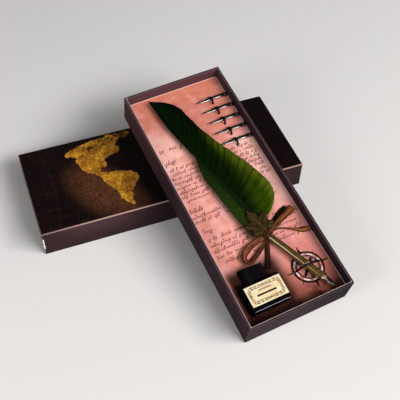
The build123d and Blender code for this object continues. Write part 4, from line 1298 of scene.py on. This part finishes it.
def needle(length, half_width, degrees_, ridge, points, faces):
    """A long diamond blade with a raised ridge, added to points and faces."""
    start = len(points)
    tail, notch = 1.6, length * 0.7
    outline = [(length, 0.0), (notch, half_width * 0.6), (tail, half_width), (0.0, 0.0), (tail, -half_width),
               (notch, -half_width * 0.6)]
    rows = [(*spot, height) for height in (0.0, PLATE * 0.45) for spot in outline]
    for along, aside, height in rows + [(notch, 0.0, ridge * 0.75), (0.0, 0.0, ridge)]:
        right, back, up = polar(along, degrees_, height, aside)
        points.append((COMPASS[0] + right, COMPASS[1] + back, COMPASS_Z + up))
    a, b, middle, hub = start, start + 6, start + 12, start + 13
    faces.append(tuple(range(a, a + 6)))
    faces += [(a + k, a + (k + 1) % 6, b + (k + 1) % 6, b + k) for k in (0, 1, 4, 5)]
    faces += [(a + 2, a + 3, hub, b + 2), (a + 3, a + 4, b + 4, hub)]
    faces += [(b, b + 1, middle), (b + 1, b + 2, hub, middle)]
    faces += [(b, middle, b + 5), (b + 5, middle, hub, b + 4)]


def make_compass():
    """Two flat rings and a hub, with eight plates between the rings and six needles over them."""
    points, faces = [], []
    band_ring(15.4, 17.0, PLATE, points, faces)
    band_ring(11.2, 12.6, PLATE, points, faces)
    band_ring(0.6, 3.2, PLATE * 1.15, points, faces, 40)
    steps = 7
    for sector in range(8):
        middle = (4 * sector + 1) * math.pi / 16
        start = len(points)
        angles = [middle + (k / (steps - 1) - 0.5) * math.pi / 8 for k in range(steps)]
        for radius, up in ((12.4, 0.0), (12.4, 0.72), (15.6, 0.72), (15.6, 0.0)):
            points += [compass_point(radius, angle, up) for angle in angles]
        ends = [tuple(row * steps + k for row in range(4)) for k in (0, steps - 1)]
        faces += shifted(grid_faces(4, steps, looped=True) + ends, start)
    for quarter in range(4):
        needle(19.6, 1.5, 45 + 90 * quarter, PLATE * 1.1, points, faces)
    for heading in (90, 270):
        needle(24.4, 2.0, heading, PLATE * 1.2, points, faces)
    make_piece("compass_rose", points, faces, "compass_rest", "gunmetal", ["compass_plate"], smooth=False)


def make_long_needle():
    """The compass's needle across the barrel, raised over it in a bow."""
    points = []
    half_length, foot, top, crown, low = 23.6, 15.5, 9.95, -1.2, 1.15
    stations = 49
    for i in range(stations):
        x = half_length * (2 * i / (stations - 1) - 1)
        height = low
        if abs(x) < foot:
            share = (x + foot) / (crown + foot) if x < crown else (foot - x) / (foot - crown)
            height += (top - 0.85) * math.sin(share * math.pi / 2) ** 0.8
        side = -1 if x < crown else 1
        reach = (half_length - side * x) / (half_length - side * crown)
        width = max(0.06, 1.7 * max(reach, 0.0) ** 0.6)
        for aside, up in ((-width, 0.0), (0.0, -0.12), (width, 0.0), (0.0, 0.62)):
            points.append((COMPASS[0] + x, COMPASS[1] + aside, COMPASS_Z + height + up))
    make_piece("compass_long_needle", points, rod_faces(stations, 4), "compass_rest", "gunmetal",
               ["compass_bow"], smooth=False)


# ---- Pen and nibs ----
def nib_points(origin, ahead, side, length, radius):
    """Split nib: a curled leaf of metal, with a slit and a round vent."""
    rows, columns, slit = 40, 20, 0.07
    points, faces = [], []
    for i in range(rows):
        t = i / (rows - 1)
        if t < 0.5:
            size, spread = radius, 2.45 - 1.2 * (t / 0.5) ** 2
        else:
            fall = (t - 0.5) / 0.5
            size = radius * (1 - 0.5 * fall ** 1.5)
            spread = 1.25 - 1.08 * fall ** 1.5
        bend = 0.35 * t * t
        for j in range(columns):
            share = j / (columns - 1)
            angle = (share * 2 - 1) * spread
            if t > 0.52:
                middle = columns // 2
                push = slit / max(size, 0.1)
                angle += push if j >= middle else -push
            points.append(origin + ahead * (t * length) + side * math.sin(angle) * size
                          + UP * (math.cos(angle) * size - bend))
    hole_row, middle = int(rows * 0.5), columns // 2
    for i in range(rows - 1):
        for j in range(columns - 1):
            in_slit = j == middle - 1 and i >= hole_row + 1
            in_vent = abs(i - hole_row) <= 1 and abs(j - (middle - 1)) <= 1
            if not in_slit and not in_vent:
                here, there = i * columns + j, (i + 1) * columns + j
                faces.append((here, here + 1, there + 1, there))
    return points, faces


def lathe(origin, ahead, side, outline, sides=36):
    """Turned piece from (along, radius) stations, closed at both ends."""
    points = []
    for along, radius in outline:
        for k in range(sides):
            angle = 2 * math.pi * k / sides
            points.append(origin + ahead * along + (side * math.cos(angle) + UP * math.sin(angle)) * radius)
    return points, rod_faces(len(outline), sides)


SPARE_ROWS = (114.0, 99.0, 84.0, 69.0, 54.0)
SPARE_END, SPARE_HEIGHT = 54.0, 24.35
STRAP_X = 34.0


def make_spare_nibs():
    """Five nib units side by side, each under its strap."""
    ahead, side = Vector((-1, 0, 0)), Vector((0, 1, 0))
    outline = [
        (0.0, 1.5), (0.15, 1.85), (0.4, 2.1), (0.8, 2.2), (4.0, 2.2), (4.2, 2.05), (4.5, 2.05), (4.7, 2.2),
        (16.4, 2.2), (16.6, 1.95), (17.3, 1.9), (17.5, 2.2), (18.7, 2.2), (19.0, 2.05), (19.0, 1.5),
        (23.5, 1.5), (23.9, 1.2)]
    for number, row in enumerate(SPARE_ROWS, start=1):
        body = f"spare_nib_{number}"
        start = Vector((SPARE_END, row, SPARE_HEIGHT))
        points, faces = lathe(start, ahead, side, outline)
        make_piece(f"nib_stem_{number}", points, faces, body, "silver", [f"spare_nib_base_{number}"])
        points, faces = nib_points(start + ahead * 19.05, ahead, side, 18.9, 1.75)
        nib = make_piece(f"nib_leaf_{number}", points, faces, body, "silver", [f"spare_nib_{number}"])
        thicken(nib, 0.28)
        make_strap(number, row - 0.8)


def make_strap(number, centre):
    """Elastic over a spare nib unit, down through a slit on each side of it."""
    half_span, rise, width, below = 4.85, 5.2, 2.3, 3
    points, lay = [], []
    turns, columns = 33, 7
    for i in range(turns):
        if i < below or i >= turns - below:
            step = below - 1 - i if i < below else i - (turns - below)
            y = -half_span if i < below else half_span
            z = CARD_TOP - 0.9 * (step + 0.4)
        else:
            angle = math.pi * (i - below) / (turns - 2 * below - 1)
            y = -math.cos(angle) * half_span
            z = CARD_TOP + math.sin(angle) * rise
        for j in range(columns):
            t = j / (columns - 1) - 0.5
            points.append((STRAP_X + t * width, centre + y, z + 0.06 * math.cos(t * 6)))
            lay.append((i * 0.6, t * width))
    strap = make_piece(f"strap_{number}", points, grid_faces(turns, columns), "tray", "elastic",
                       [f"nib_strap_{number}"], lay=lay)
    thicken(strap, 0.42)


def make_barrel():
    """Tapered barrel, bored at both ends."""
    outline = [
        (-14.05, 2.35), (-0.15, 2.35), (0.0, 2.5), (0.0, 3.85), (-0.15, 3.98), (-0.75, 4.2), (-1.2, 4.235),
        (-8.0, 4.17), (-37.0, 3.875), (-66.0, 3.58), (-73.0, 3.51), (-73.6, 3.45), (-74.0, 3.1),
        (-74.0, 2.0), (-73.85, 1.85), (-61.95, 1.85)]
    points, faces = lathe(PEN_FRONT, PEN_AHEAD, PEN_SIDE, outline, 72)
    make_piece("barrel", points, faces, "pen", "old_brass", ["pen_barrel"])


def make_pen_nib():
    """The pen's own nib on its stem, which goes into the barrel's front end."""
    outline = [(-14.0, 1.4), (-13.6, 2.1), (-13.2, 2.28), (0.0, 2.28), (3.62, 2.28), (3.68, 2.7), (3.9, 2.95),
               (4.3, 3.0), (4.7, 3.0), (5.1, 2.8), (5.3, 2.6), (5.45, 2.35), (9.0, 2.3), (9.2, 1.9)]
    points, faces = lathe(PEN_FRONT, PEN_AHEAD, PEN_SIDE, outline)
    make_piece("nib_stem", points, faces, "nib_unit", "silver", ["nib_holder"])
    points, faces = nib_points(PEN_FRONT + PEN_AHEAD * 5.5, PEN_AHEAD, PEN_SIDE, 10.0, 2.55)
    nib = make_piece("nib_leaf", points, faces, "nib_unit", "silver", ["pen_nib"])
    thicken(nib, 0.28)


# ---- Ink bottle ----
def make_bottle():
    """Square bottle on its back: softened heel and shoulder, neck with a lip, open mouth."""
    half, corner, least_corner = (21.0, 13.0), 2.5, 0.6
    centre_x, centre_z = BOTTLE_MIDDLE[0], 8.0 + half[1]
    around = 64
    angles = [2 * math.pi * (k + 0.5) / around for k in range(around)]
    rings = []
    for inset, along in ((3.0, 0.0), (1.2, 0.02), (0.55, 0.16), (0.16, 0.55), (0.0, 1.3), (0.0, 25.9),
                         (0.18, 26.7), (0.65, 27.25), (1.4, 27.48)):
        ring = []
        round_off = max(corner - inset, least_corner)
        wide, high = half[0] - inset - round_off, half[1] - inset - round_off
        for angle in angles:
            c, s = math.cos(angle), math.sin(angle)
            scale = min(wide / max(abs(c), 1e-6), high / max(abs(s), 1e-6)) + round_off
            ring.append((c * scale, s * scale))
        rings.append((along, ring))
    for radius, along in ((10.6, 27.5), (9.9, 27.7), (9.5, 28.4), (9.5, 38.6), (9.2, 39.3), (8.6, 39.5),
                          (7.6, 39.4), (7.1, 38.9), (7.0, 27.0), (7.0, 25.6)):
        rings.append((along, [(radius * math.cos(angle), radius * math.sin(angle)) for angle in angles]))
    points = [(centre_x + x, BOTTLE_FOOT + along, centre_z + z) for along, ring in rings for x, z in ring]
    make_piece("bottle_glass", points, rod_faces(len(rings), around), "ink_bottle", "black_glass",
               ["ink_bottle"])


set_camera()
set_stage()
make_shaft()
make_vane("wide_vane", "feather_wide_vane", wide_edge, wide_sweep, side=1, seed=7, strips=44, frayed=0.04)
make_vane("narrow_vane", "feather_narrow_vane", narrow_edge, narrow_sweep, side=-1, seed=9, strips=60,
          frayed=0.02)
make_down()
make_leaf()
make_jump_ring()
make_ribbons()
make_knot()
make_compass()
make_long_needle()
make_spare_nibs()
make_barrel()
make_pen_nib()
make_bottle()
